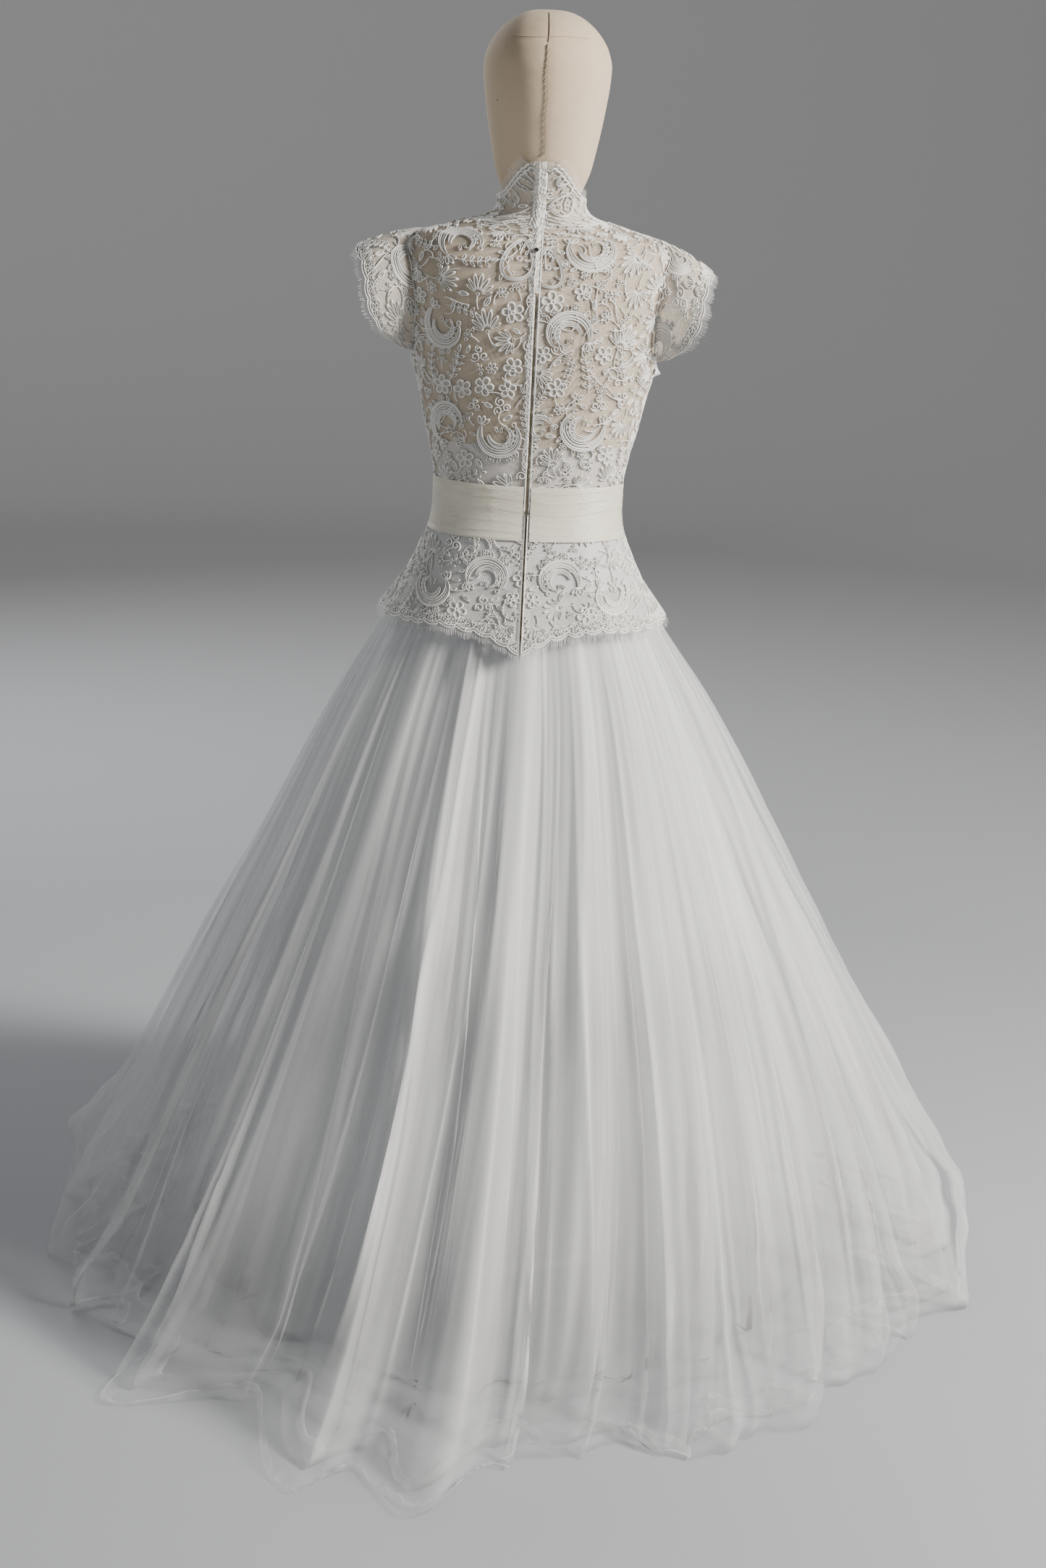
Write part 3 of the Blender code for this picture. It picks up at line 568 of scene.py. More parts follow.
@dataclass(frozen=True)
class Thread:
    """Cotton or rayon thread and cord, matte with a slight sheen.

    Attributes:
        name: The material's name.
        colour: Its colour.
        shade: Colour in its hollows.
        roughness: Of the surface.
        raised: Whether the mesh says where its cord stands up.
        hollow: Colour of the cloth between raised cords.
        thin: How much of the light the cloth between them stops.
        ply: Metres from one twist of the thread to the next.
    """

    name: str = "lace_thread"
    colour: tuple = (0.93, 0.915, 0.875)
    shade: tuple = (0.82, 0.785, 0.72)
    roughness: float = 0.5
    raised: bool = False
    hollow: tuple = (0.76, 0.70, 0.61)
    thin: float = 0.62
    ply: float = 0.0009

    def make(self) -> Material:
        """Builds the material."""
        nodes = Nodes(self.name)
        twist = nodes.ribs("DIAGONAL", self.ply, 1.5)
        colour = nodes.mix(nodes.noise(260.0, 2.0) * 0.6, self.colour, self.shade)
        if self.raised:
            height = nodes.add("ShaderNodeAttribute", {"attribute_name": "raised"}, {}, "Fac")
            colour = nodes.mix(height, self.hollow, colour)
            nodes.dress(Alpha=height * (1.0 - self.thin) + self.thin)
        return nodes.dress(Base_Color=colour, Roughness=self.roughness, Sheen_Weight=0.2,
                           Normal=nodes.bump(twist, 0.00015, 0.5))


@dataclass(frozen=True)
class Net:
    """Fine net ground of the lace, seen as a sheer tint.

    Attributes:
        name: The material's name.
        colour: Colour of its thread.
        cover: Share of it that is thread.
        mesh: Metres from hole to hole.
    """

    name: str = "lace_net"
    colour: tuple = (0.78, 0.67, 0.54)
    cover: float = 0.26
    mesh: float = 0.0014

    def make(self) -> Material:
        """Builds the material."""
        nodes = Nodes(self.name)
        place = nodes.add("ShaderNodeTexCoord", {}, {}, "Object")
        cell = nodes.add("ShaderNodeTexVoronoi", {"feature": "DISTANCE_TO_EDGE"},
                         {"Vector": place, "Scale": 1.0 / self.mesh, "Randomness": 0.45})
        thread = 1.0 - nodes.ramp(cell, 0.08, 0.26)
        cloud = nodes.noise(30.0, 2.0)
        alpha = thread * 0.50 + cloud * 0.25 + (self.cover - 0.30)
        return nodes.dress(Base_Color=self.colour, Roughness=0.8, Alpha=alpha)


@dataclass(frozen=True)
class Satin:
    """Smooth satin or organza, with threads across it.

    Attributes:
        name: The material's name.
        colour: Its colour.
        shade: Colour of its cloudier places.
        roughness: Of the surface.
        pitch: Metres between the threads that show.
        relief: Height of the threads.
    """

    name: str
    colour: tuple
    shade: tuple
    roughness: float
    pitch: float
    relief: float

    def make(self) -> Material:
        """Builds the material."""
        nodes = Nodes(self.name)
        threads = nodes.ribs("Z", self.pitch, 2.5) * 0.6 + nodes.noise(90.0, 4.0, (1.0, 1.0, 9.0))
        cloud = nodes.ramp(nodes.noise(26.0, 3.0, (1.0, 1.0, 3.0)), 0.3, 0.7)
        colour = nodes.mix(cloud, self.colour, self.shade)
        return nodes.dress(Base_Color=colour, Roughness=self.roughness, Sheen_Weight=0.25,
                           Normal=nodes.bump(threads, self.relief, 0.6))


@dataclass(frozen=True)
class Tulle:
    """Sheer tulle, whose cover each layer's mesh carries for every vertex.

    Attributes:
        name: The material's name.
        colour: Colour of its thread.
        attribute: The vertex value read as its cover.
    """

    name: str
    colour: tuple = (0.93, 0.93, 0.925)
    attribute: str = "cover"

    def make(self) -> Material:
        """Builds the material."""
        nodes = Nodes(self.name)
        cover = nodes.add("ShaderNodeAttribute", {"attribute_name": self.attribute}, {}, "Fac")
        return nodes.dress(Base_Color=self.colour, Roughness=0.8, Alpha=cover)


@dataclass(frozen=True)
class Paint:
    """Painted or bare metal, with fine wear.

    Attributes:
        name: The material's name.
        colour: Its colour.
        worn: Colour of its rubbed places.
        roughness: Of the surface.
        metallic: 1 for bare metal.
    """

    name: str
    colour: tuple
    worn: tuple
    roughness: float
    metallic: float

    def make(self) -> Material:
        """Builds the material."""
        nodes = Nodes(self.name)
        wear = nodes.ramp(nodes.noise(35.0, 6.0), 0.55, 0.75)
        grain = nodes.noise(400.0, 2.0)
        return nodes.dress(Base_Color=nodes.mix(wear, self.colour, self.worn), Metallic=self.metallic,
                           Roughness=wear * 0.2 + self.roughness, Normal=nodes.bump(grain, 0.0001, 0.4))


class Finish(Enum):
    """Finishes of the dress, its form and the stand."""

    CANVAS = Canvas()
    CORD = Thread("lace_cord", raised=True)
    THREAD = Thread()
    NET = Net()
    CLOSE_NET = Net("close_lace_net", (0.76, 0.68, 0.57), 0.48)
    # Painted shade in part: the net's own off-white is made a little darker to stand in for the shadows
    # that set off the peplum's cords.
    WHITE_NET = Net("white_lace_net", (0.80, 0.78, 0.73), 0.40)
    SEAM = Thread("seam_thread", (0.50, 0.36, 0.22), (0.30, 0.20, 0.12), 0.8)
    # Painted shade in part: the thread's own light beige is made darker to stand in for the shadows between
    # the whipped stitches.
    WHIPPING = Thread("whipping_thread", (0.56, 0.44, 0.31), (0.34, 0.24, 0.15), 0.8)
    SATIN = Satin("white_satin", (0.88, 0.90, 0.93), (0.80, 0.83, 0.88), 0.30, 0.0008, 0.0001)
    ORGANZA = Satin("champagne_organza", (0.80, 0.76, 0.63), (0.72, 0.66, 0.52), 0.36, 0.0011, 0.0004)
    TAPE = Satin("zip_tape", (0.86, 0.85, 0.82), (0.78, 0.75, 0.68), 0.5, 0.0009, 0.0002)
    TEETH = Thread("zip_teeth", (0.55, 0.44, 0.26), (0.32, 0.24, 0.13), 0.45)
    TULLE = Tulle("white_tulle")
    LINING = Tulle("skirt_lining", (0.88, 0.885, 0.89))
    PAINT = Paint("painted_steel", (0.78, 0.77, 0.75), (0.60, 0.58, 0.55), 0.40, 0.0)
    METAL = Paint("stud_metal", (0.14, 0.13, 0.12), (0.30, 0.29, 0.27), 0.35, 1.0)


class Workroom:
    """Keeps the finishes and puts finished pieces on the model."""

    def __init__(self) -> None:
        """Makes every finish once."""
        self.finishes = {finish: finish.value.make() for finish in Finish}

    def add(self, name: str, mesh: Mesh, finish: Finish, slot: str,
            nodes: Iterable[str] = ()) -> bpy.types.Object:
        """Puts a mesh on the model.

        Args:
            name: The piece's name.
            mesh: Its mesh, in place.
            finish: Its finish.
            slot: The record's material slot; not used.
            nodes: The CAD nodes that it replaces.

        Returns:
            The piece.
        """
        mesh.materials.append(self.finishes[finish])
        piece = bpy.data.objects.new(name, mesh)
        link(piece)
        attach(piece, "root")
        if nodes:
            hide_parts(*nodes)
        LOG.info("%s: %d faces", name, len(mesh.polygons))
        return piece

    def dress_node(self, name: str, finish: Finish) -> None:
        """Gives a CAD node that stays its finish."""
        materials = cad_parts[name].data.materials
        materials.clear()
        materials.append(self.finishes[finish])
        LOG.info("%s: finished as it is", name)


@dataclass(frozen=True)
class Ply:
    """One gathered layer of the skirt.

    Attributes:
        name: Its piece's name.
        nodes: The CAD nodes that it replaces.
        columns: Faces round it.
        rows: Faces down it.
        creases: How many narrow folds it has.
        height: Height of the tallest.
        seed: Chooses their places.
        cover: Share of the cloth that is thread, seen square on.
        deep: Depth of the main folds against the outer ply's.
        drop: How far it lies inside the skirt's outer hull, by height.
        area: Area of its cut.
        flat: Width and length of its cut.
        rests: What it rests on.
        finish: Its finish.
        slot: The record's material slot.
    """

    name: str
    nodes: tuple[str, ...]
    columns: int
    rows: int
    creases: int
    height: float
    seed: int
    cover: float
    deep: float
    drop: Table
    area: float = 3.0
    flat: Flat = (3.9, 1.08)
    rests: str = "skirt_lining"
    finish: Finish = Finish.TULLE
    slot: str = "tulle"


PLIES = (
    Ply("skirt_outer", ("tulle_outer",), 900, 86, 84, 0.026, 11, 0.10, 1.0, ((0.0, 0.0), (1.0, 0.0))),
    Ply("skirt_outer_second", (), 540, 60, 64, 0.024, 23, 0.11, 0.8,
        ((0.0, 0.028), (0.3, 0.016), (0.955, 0.001))),
    Ply("skirt_middle", ("tulle_middle",), 440, 44, 60, 0.022, 37, 0.16, 0.5,
        ((0.0, 0.074), (0.28, 0.050), (0.52, 0.040), (0.76, 0.024), (0.955, 0.0032))),
    Ply("skirt_inner", ("tulle_inner",), 400, 40, 48, 0.020, 41, 0.24, 0.4,
        ((0.0, 0.118), (0.28, 0.080), (0.52, 0.062), (0.76, 0.036), (0.955, 0.0050)), area=2.5),
    Ply("skirt_lining", ("underskirt",), 300, 30, 30, 0.016, 53, 0.9, 0.3,
        ((0.0, 0.170), (0.28, 0.112), (0.52, 0.084), (0.76, 0.052), (0.955, 0.0068)), area=2.3,
        flat=(3.2, 1.05), rests="form_torso", finish=Finish.LINING, slot="lining"),
)


@dataclass
class Skirt:
    """The gathered tulle skirt: plies of sheer cloth over a lining.

    Attributes:
        room: Where its pieces are finished.
        floor: Height of the lowest cloth.
        hem_share: Share of each ply's length that lies along the floor.
        billows: Places where the outer ply balloons: degrees, half spread, height, half height, reach.
        crumple: Height of the crumples towards the hem.
        ripple: Height of the soft ripples between the folds.
        tuck: How far the cloth on the floor is pushed under.
    """

    room: Workroom
    floor: float = 0.004
    hem_share: float = 0.07
    billows: tuple = (
        (-88, 9, 0.105, 0.055, 0.040), (-66, 7, 0.050, 0.040, 0.050), (80, 12, 0.150, 0.080, 0.034),
        (60, 8, 0.045, 0.035, 0.028), (28, 10, 0.040, 0.035, 0.022), (-28, 5, 0.030, 0.030, 0.024))
    crumple: float = 0.0032
    ripple: float = 0.0016
    tuck: float = 0.050

    def hull(self, angle: Array, z: Array, out: Array) -> Array:
        """Points of the skirt's outer hull, moved out level.

        Args:
            angle: Degrees from the centre back.
            z: Heights.
            out: Distances outwards.

        Returns:
            An array of points.
        """
        width, back, front, shift, power = (smooth(SKIRT_RINGS, z, column) for column in range(1, 6))
        x, y = superellipse(angle, width, back, front, power)
        turn = np.radians(angle)
        return np.stack([x + out * np.sin(turn) + shift, y - out * np.cos(turn), z], axis=-1)

    def main_folds(self, u: Array, z: Array, deep: float) -> tuple[Array, Array]:
        """The broad folds that fan out to the floor, and the puffs at the front hips.

        Args:
            u: Share of the way round.
            z: Heights.
            deep: Depth of the folds against the outer ply's.

        Returns:
            Degrees from the centre back, and how far each point is moved out.
        """
        fall = 1.0 - z / SKIRT_TOP
        count = len(OUTER_FOLDS)
        folds = np.array(OUTER_FOLDS + ((OUTER_FOLDS[0][0] + 360, *OUTER_FOLDS[0][1:]),), float)
        index = np.minimum((u * count).astype(int), count - 1)
        phase = u * count - index
        wave = np.cos(TAU * phase)
        top = folds[0, 0] + 360.0 * u
        hem = folds[index, 0] + (folds[index + 1, 0] - folds[index, 0]) * phase
        angle = top + (hem - top) * fall ** 0.7
        peak = np.where(phase < 0.5, folds[index, 1], folds[index + 1, 1])
        reach = folds[index, 2] + (peak - folds[index, 2]) * (0.5 + 0.5 * wave)
        sway = reach - FOLD_DEPTH[0][1] * wave
        out = read(FOLD_DEPTH, z) * wave * deep + sway * fall ** 5.0 * deep
        for centre, extent, half in FRONT_PUFFS:
            off = np.abs(swing(angle, centre))
            puff = np.where(off < half, 0.5 + 0.5 * np.cos(np.pi * off / half), 0.0)
            out += extent * puff * read(PUFF_HEIGHTS, z)
        return angle, out

    def creases(self, ply: Ply, u: Array, v: Array) -> tuple[Array, Array]:
        """Narrow upstanding folds that fan out from the gathers.

        Args:
            ply: The layer.
            u: Share of the way round.
            v: Share of the way down.

        Returns:
            How far each point is moved out, and how many degrees sideways.
        """
        dice = random.Random(ply.seed)
        out, lean = np.zeros_like(u), np.zeros_like(u)
        for index in range(ply.creases):
            centre = (index + dice.uniform(-0.42, 0.42)) / ply.creases
            width = dice.choice((0.0013, 0.0018, dice.uniform(0.0024, 0.0080)))
            tall = ply.height * dice.uniform(0.35, 1.0)
            drift, wander = dice.uniform(-0.022, 0.022), dice.uniform(0.0, 0.0022)
            start, end = dice.choice((0.0, 0.0, 0.12, 0.3)), dice.choice((1.4, 1.05, 0.98, 0.90))
            tilt = dice.uniform(-1.9, 1.9)
            off = (u - centre - drift * v - wander * np.sin(9.0 * v + 40.0 * centre) + 0.5) % 1.0 - 0.5
            ridge = np.exp(-(off / (width * (1.5 - 0.5 * v))) ** 2)
            strength = ease((v - start) / 0.25) * ease((end - v) / 0.25) * v ** 0.8
            out += tall * ridge * strength
            lean += tilt * ridge * strength
        return out, lean

    def waves(self, dice: random.Random, u: Array, v: Array, counts: tuple[int, int], lines: int,
              uneven: bool, bend: float = 0.0) -> Array:
        """Soft waves round the skirt, of many widths.

        Args:
            dice: Chooses their widths and places.
            u: Share of the way round.
            v: Share of the way down.
            counts: Fewest and most waves in the whole way round.
            lines: How many trains of waves are added up.
            uneven: Whether the trains have different heights.
            bend: How much they bend on their way down.

        Returns:
            Their sum.
        """
        total = np.zeros_like(u)
        for _ in range(lines):
            count, turn = dice.randint(*counts), dice.uniform(0.0, 6.28)
            weight = dice.uniform(0.3, 1.0) if uneven else 1.0
            phase = TAU * count * u + turn + dice.uniform(-3.0, 3.0) * v
            total += weight * np.sin(phase + bend * np.sin(7.0 * v + turn))
        return total

    def cover(self, ply: Ply, u: Array, v: Array, crease: Array, facing: Array,
              dice: random.Random) -> Array:
        """How much of the light the cloth stops at each point.

        Args:
            ply: The layer.
            u: Share of the way round.
            v: Share of the way down.
            crease: Height of the narrow folds.
            facing: How squarely the cloth faces outwards, from 0 to 1.
            dice: Chooses its streaks.

        Returns:
            The cover, from 0 to 1.
        """
        outer = ply.deep > 0.7
        streak = self.waves(dice, u, v, (14, 120), 9, False, 1.2)
        fade = 0.35 if outer else 0.80
        thick = ply.cover * (1.0 + 0.13 * streak) * (1.0 + 1.4 * (1.0 - v) ** 3)
        thick = thick * (1.0 - fade * ease((v - 0.60) / 0.40))
        if outer:
            edge = np.clip((v - 0.987) / 0.01, 0.0, 1.0)
            thick = thick + 0.17 * np.clip(crease / ply.height, 0.0, 1.0) ** 1.5 + 0.20 * edge
        least = 0.22 if outer else 0.5
        shown = 1.0 - (1.0 - np.clip(thick, 0.03, 0.9)) ** (1.0 / np.clip(facing, least, 1.0))
        if ply.name == "skirt_inner":
            shown = np.maximum(shown, ease((0.68 - v) / 0.25))
        if ply.finish is Finish.LINING:
            shown = 1.0 - 0.96 * ease((v - 0.62) / 0.34)
        return np.clip(shown, 0.02, 1.0)

    def ply_mesh(self, ply: Ply) -> Mesh:
        """Builds one layer.

        Args:
            ply: The layer.

        Returns:
            The mesh, with its cover at each vertex.
        """
        mesh = unit_grid(ply.columns, ply.rows, ply.name)
        flat = coordinates(mesh)
        u, v = flat[:, 0], 1.0 - flat[:, 1]
        down = np.clip(v / (1.0 - self.hem_share), 0.0, 1.0)
        past = np.clip((v - 1.0 + self.hem_share) / self.hem_share, 0.0, 1.0)
        z = SKIRT_TOP + (self.floor - SKIRT_TOP) * down
        angle, out = self.main_folds(u, z, ply.deep)
        crease, lean = self.creases(ply, u, v)
        dice = random.Random(ply.seed + 1)
        ripple = self.waves(dice, u, v, (9, 44), 7, True)
        out += crease + ripple * self.ripple * v - read(ply.drop, z)
        for centre, half, middle, tall, extent in self.billows if ply.deep > 0.9 else ():
            off = swing(angle, centre) / half
            swell = np.exp(-off ** 2)
            bulge = swell * np.exp(-((z - middle) / tall) ** 2)
            out += extent * bulge * (1.0 + 0.22 * np.sin(5.0 * off + 60.0 * z) * np.cos(37.0 * z))
            out -= past * extent * 1.2 * swell
        swirl = 3.0 * np.sin(TAU * (7.0 * u + 5.0 * v + 0.1 * ply.seed))
        crumple = np.sin(TAU * (37.0 * u + 11.0 * v) + swirl)
        out += self.crumple * crumple * ease((v - 0.62) / 0.3) * (0.5 + 0.5 * np.sin(TAU * (5.0 * u + 0.3)))
        under = 0.5 + 0.5 * np.sin(TAU * (2.0 * u + 0.21 * ply.seed))
        out += past * (0.010 * ripple - self.tuck * under)
        z = z + 0.006 * past * (1.0 - past) * 4.0 * under + 0.0022 * past * (1.0 + np.sin(17.0 * ripple))
        points = self.hull(angle + lean, z, out)
        move_to(mesh, points)

        normals = np.empty(len(mesh.vertices) * 3, np.float32)
        mesh.vertex_normals.foreach_get("vector", normals)
        around = rows(-points[:, 1], points[:, 0], np.zeros(len(points)))
        around /= np.linalg.norm(around, axis=1, keepdims=True)
        turned = (normals.reshape(-1, 3) * around).sum(axis=1)
        facing = np.sqrt(np.maximum(0.0, 1.0 - turned ** 2))
        add_attribute(mesh, "cover", self.cover(ply, u, v, crease, facing, dice))
        weld(mesh)
        return mesh

    def build(self) -> None:
        """Makes the plies and the lining."""
        for ply in PLIES:
            piece = self.room.add(ply.name, self.ply_mesh(ply), ply.finish, ply.slot, ply.nodes)


# Cross-sections of stitched bands: place across, from -1 to 1, and height in metres
CORD = ((-1.0, 0.0), (-0.55, 0.0013), (0.55, 0.0013), (1.0, 0.0))
SCROLL_BAND = (
    (-1.0, 0.0), (-0.92, 0.0016), (-0.72, 0.0016), (-0.62, 0.0003), (-0.50, 0.0014), (-0.32, 0.0014),
    (-0.20, 0.0003), (0.04, 0.0003), (0.16, 0.0013), (0.34, 0.0013), (0.46, 0.0003), (0.66, 0.0003),
    (0.76, 0.0016), (0.92, 0.0016), (1.0, 0.0),
)
STITCH = ((-1.0, 0.0), (-0.5, 0.0006), (0.5, 0.0006), (1.0, 0.0))
# Rings of a petal from its middle to its rim: share of its size, height in metres
PETAL_RINGS = ((0.0, 0.0002), (0.56, 0.0002), (0.72, 0.0014), (0.88, 0.0014), (1.0, 0.0))


class Side(IntEnum):
    """The wearer's sides, as the sign of x."""

    LEFT = -1
    RIGHT = 1

    @property
    def word(self) -> str:
        """The side's word in the nodes' names."""
        return self.name.lower()


class Motif(Enum):
    """Figures of the corded lace."""

    FLOWER = "five-petalled flower"
    DAISY = "six-petalled flower"
    LEAF = "leaf"
    BUD = "bud"
    CLUSTER = "cluster of buds"
    SPRAY = "fan of long petals"
    SPRIG = "stem with leaves"
    SCROLL = "scroll with a row of fingers inside"
    PAISLEY = "paisley"
    ARC = "string of discs in an arc"
    CURL = "three curling cords"


def band(path: Array, half: Array | float, section: Table = CORD) -> Mesh:
    """Makes a flat band with raised cords along a path.

    Args:
        path: Rows of x and y.
        half: Half its width, all along or at each point.
        section: Its cross-section.

    Returns:
        The mesh.
    """
    mesh = unit_grid(len(path) - 1, len(section) - 1, "band")
    flat = coordinates(mesh)
    step = np.rint(flat[:, 0] * (len(path) - 1)).astype(int)
    across = np.rint(flat[:, 1] * (len(section) - 1)).astype(int)
    ahead = np.gradient(np.asarray(path, float), axis=0)
    ahead /= np.maximum(np.linalg.norm(ahead, axis=1, keepdims=True), 1e-9)
    left = rows(-ahead[:, 1], ahead[:, 0])
    shape = np.array(section)
    offset = shape[across, 0] * np.broadcast_to(half, len(path))[step]
    points = np.empty_like(flat)
    points[:, :2] = np.asarray(path)[step] + left[step] * offset[:, None]
    points[:, 2] = shape[across, 1]
    move_to(mesh, points)
    return mesh


def petal(length: float, width: float, pointed: float = 0.45, segments: int = 12) -> Mesh:
    """Makes a petal that grows up from the origin, with a raised rim.

    Args:
        length: Its length.
        width: Its width.
        pointed: How narrow its foot is, from 0 to 1.
        segments: Points round it.

    Returns:
        The mesh.
    """
    mesh = unit_grid(segments, len(PETAL_RINGS) - 1, "petal")
    flat = coordinates(mesh)
    ring = np.rint(flat[:, 1] * (len(PETAL_RINGS) - 1)).astype(int)
    rings = np.array(PETAL_RINGS)
    turn, reach = 2.0 * np.pi * flat[:, 0], rings[ring, 0]
    y = 0.5 * length * (1.0 - np.cos(turn) * reach)
    x = -0.5 * width * np.sin(turn) * reach * (1.0 - pointed + 2.0 * pointed * y / length)
    move_to(mesh, rows(x, y, rings[ring, 1]))
    weld(mesh, 1e-6)
    return mesh


class Flatwork:
    """Flat embroidery that grows in one mesh, over a chart of the places taken."""

    cell = 0.0014

    def __init__(self, low: Flat = (-0.5, -0.3), high: Flat = (0.5, 0.5)) -> None:
        """Starts an empty piece.

        Args:
            low: Least s and t of the chart.
            high: Greatest s and t.
        """
        self.bm = bmesh.new()
        self.low = np.array(low)
        self.taken = np.zeros(tuple(np.ceil((np.array(high) - low) / self.cell).astype(int) + 1), bool)

    def put(self, mesh: Mesh, place: Flat = (0.0, 0.0), turn: float = 0.0, size: float = 1.0,
            flip: bool = False) -> None:
        """Adds a copy of a mesh.

        Args:
            mesh: What is copied.
            place: Where its origin goes.
            turn: Degrees that it is turned.
            size: Its scale.
            flip: Whether it is mirrored.
        """
        copy = mesh.copy()
        copy.transform(Matrix.Translation((*place, 0.0)) @ Matrix.Rotation(math.radians(turn), 4, "Z")
                       @ Matrix.Diagonal((-size if flip else size, size, 1.0, 1.0)))
        if flip:
            copy.flip_normals()
        self.bm.from_mesh(copy)
        self._mark(coordinates(copy)[:, :2])
        bpy.data.meshes.remove(copy)

    def line(self, path: Array, half: Array | float, section: Table = CORD) -> None:
        """Adds a band along a path."""
        mesh = band(path, half, section)
        self.bm.from_mesh(mesh)
        self._mark(coordinates(mesh)[:, :2])
        bpy.data.meshes.remove(mesh)

    def _mark(self, spots: Array) -> None:
        """Marks the cells round some points as taken."""
        for across in (-1, 0, 1):
            for up in (-1, 0, 1):
                at = np.rint((spots - self.low) / self.cell).astype(int) + (across, up)
                at = np.clip(at, 0, np.array(self.taken.shape) - 1)
                self.taken[at[:, 0], at[:, 1]] = True

    def free(self, place: Flat, radius: float) -> bool:
        """Whether a disc of the chart is free."""
        middle = np.rint((np.array(place) - self.low) / self.cell).astype(int)
        span = int(radius / self.cell)
        i, j = np.ogrid[-span:span + 1, -span:span + 1]
        disc = i * i + j * j <= span * span
        block = self.taken[middle[0] - span:middle[0] + span + 1, middle[1] - span:middle[1] + span + 1]
        return block.shape == disc.shape and not (block & disc).any()

    def mesh(self, name: str) -> Mesh:
        """Finishes the piece as a flat mesh."""
        return mesh_from(self.bm, name)


class Pattern:
    """Meshes of the lace's figures, each made once and then copied."""

    def __init__(self) -> None:
        """Makes every figure."""
        self.long_petal = petal(0.030, 0.0068, 0.25)
        self.finger = petal(0.014, 0.0056, 0.15, 10)
        self.round_petal = petal(0.0128, 0.0092, 0.40)
        self.slim_petal = petal(0.0115, 0.0066, 0.35, 10)
        self.small_leaf = petal(0.0105, 0.0048, -0.10, 8)
        self.disc = petal(0.0062, 0.0062, 0.0, 8)
        self.figures: dict[Motif, Mesh] = {}
        for motif in Motif:
            work = Flatwork((-0.08, -0.08), (0.08, 0.08))
            getattr(self, "_" + motif.name.lower())(work)
            self.figures[motif] = work.mesh(motif.value)

    def _flower(self, work: Flatwork) -> None:
        """Five round petals about a button."""
        for index in range(5):
            work.put(self.round_petal, turn=72.0 * index)
        work.put(self.disc, (0.0, -0.0031))

    def _daisy(self, work: Flatwork) -> None:
        """Six slim petals about a button."""
        for index in range(6):
            work.put(self.slim_petal, turn=60.0 * index)
        work.put(self.disc, (0.0, -0.0028), size=0.9)

    def _leaf(self, work: Flatwork) -> None:
        """A leaf with its midrib."""
        work.put(self.small_leaf, (0.0, -0.008), size=1.5)
        work.line(np.array([(0.0, -0.010), (0.0003, -0.003), (0.0, 0.004)]), 0.0006)

    def _bud(self, work: Flatwork) -> None:
        """One small disc."""
        work.put(self.disc, (0.0, -0.0031))

    def _cluster(self, work: Flatwork) -> None:
        """Five discs on short stems."""
        for turn in (-60.0, -20.0, 20.0, 60.0):
            off = Matrix.Rotation(math.radians(turn), 2) @ Vector((0.0, 0.0065))
            work.put(self.disc, tuple(off), turn, 0.95)
        work.put(self.disc, (0.0, 0.0005), size=0.95)
        work.line(np.array([(0.0, 0.001), (0.0008, -0.006), (0.0, -0.012)]), 0.0007)

    def _spray(self, work: Flatwork) -> None:
        """Seven long petals in a fan."""
        for turn, size in ((-66, 0.62), (-44, 0.80), (-21, 0.95), (0, 1.0), (21, 0.95), (44, 0.80),
                           (66, 0.62)):
            foot = Matrix.Rotation(math.radians(turn), 2) @ Vector((0.0, 0.005))
            work.put(self.long_petal, tuple(foot), turn, size)
        work.put(self.disc, (0.0, -0.003))
        down = np.linspace(0.0, 1.0, 8)
        work.line(rows(0.006 * down ** 2, -0.003 - 0.020 * down), 0.0008)

    def _sprig(self, work: Flatwork) -> None:
        """A curved stem with leaves in pairs."""
        up = np.linspace(-0.5, 0.5, 14)
        stem = rows(0.010 * (0.25 - up ** 2), 0.044 * up)
        work.line(stem, 0.0008)
        for index in (2, 5, 8, 11):
            for side in (-1.0, 1.0):
                work.put(self.small_leaf, tuple(stem[index]), 52.0 * side - 8.0 * (index - 6) / 6, 1.0)
        work.put(self.small_leaf, tuple(stem[-1]), 8.0, 1.15)

    def _scroll(self, work: Flatwork) -> None:
        """An open scroll of cords, with feathers at its head and flowers on its back."""
        for reach, low, high, wide in ((0.0290, -35.0, 205.0, 0.0052), (0.0165, -10.0, 235.0, 0.0030)):
            turn = np.radians(np.linspace(low, high, 34))
            share = np.linspace(0.0, 1.0, 34)
            radius = reach * (1.0 - 0.24 * share)
            path = rows(radius * np.cos(turn), radius * np.sin(turn))
            work.line(path, 0.0009 + wide * np.sin(np.pi * share ** 0.8) ** 0.8, SCROLL_BAND)
            work.put(self.disc, tuple(path[-1]), math.degrees(turn[-1]), 1.15 * reach / 0.029)
            if wide < 0.004:
                continue
            for index, size in ((20, 0.70), (23, 0.85), (26, 0.95), (29, 1.0), (32, 0.9)):
                inward = math.degrees(turn[index]) + 90.0 + 28.0
                work.put(self.finger, tuple(path[index] * 0.86), inward, size)
            for index, size in ((7, 0.50), (13, 0.56), (19, 0.50)):
                work.put(self.figures[Motif.DAISY], tuple(path[index] * 1.36), 40.0 * index, size)
            for index in (4, 10, 16, 22):
                work.put(self.small_leaf, tuple(path[index] * 1.16), math.degrees(turn[index]) - 118.0, 1.0)
            for heading in (120.0, 155.0, 190.0):
                work.put(self.small_leaf, tuple(path[0]), heading, 1.35)
        work.put(self.finger, (0.003, -0.004), 200.0, 0.7)
        work.put(self.finger, (0.000, -0.003), 165.0, 0.6)

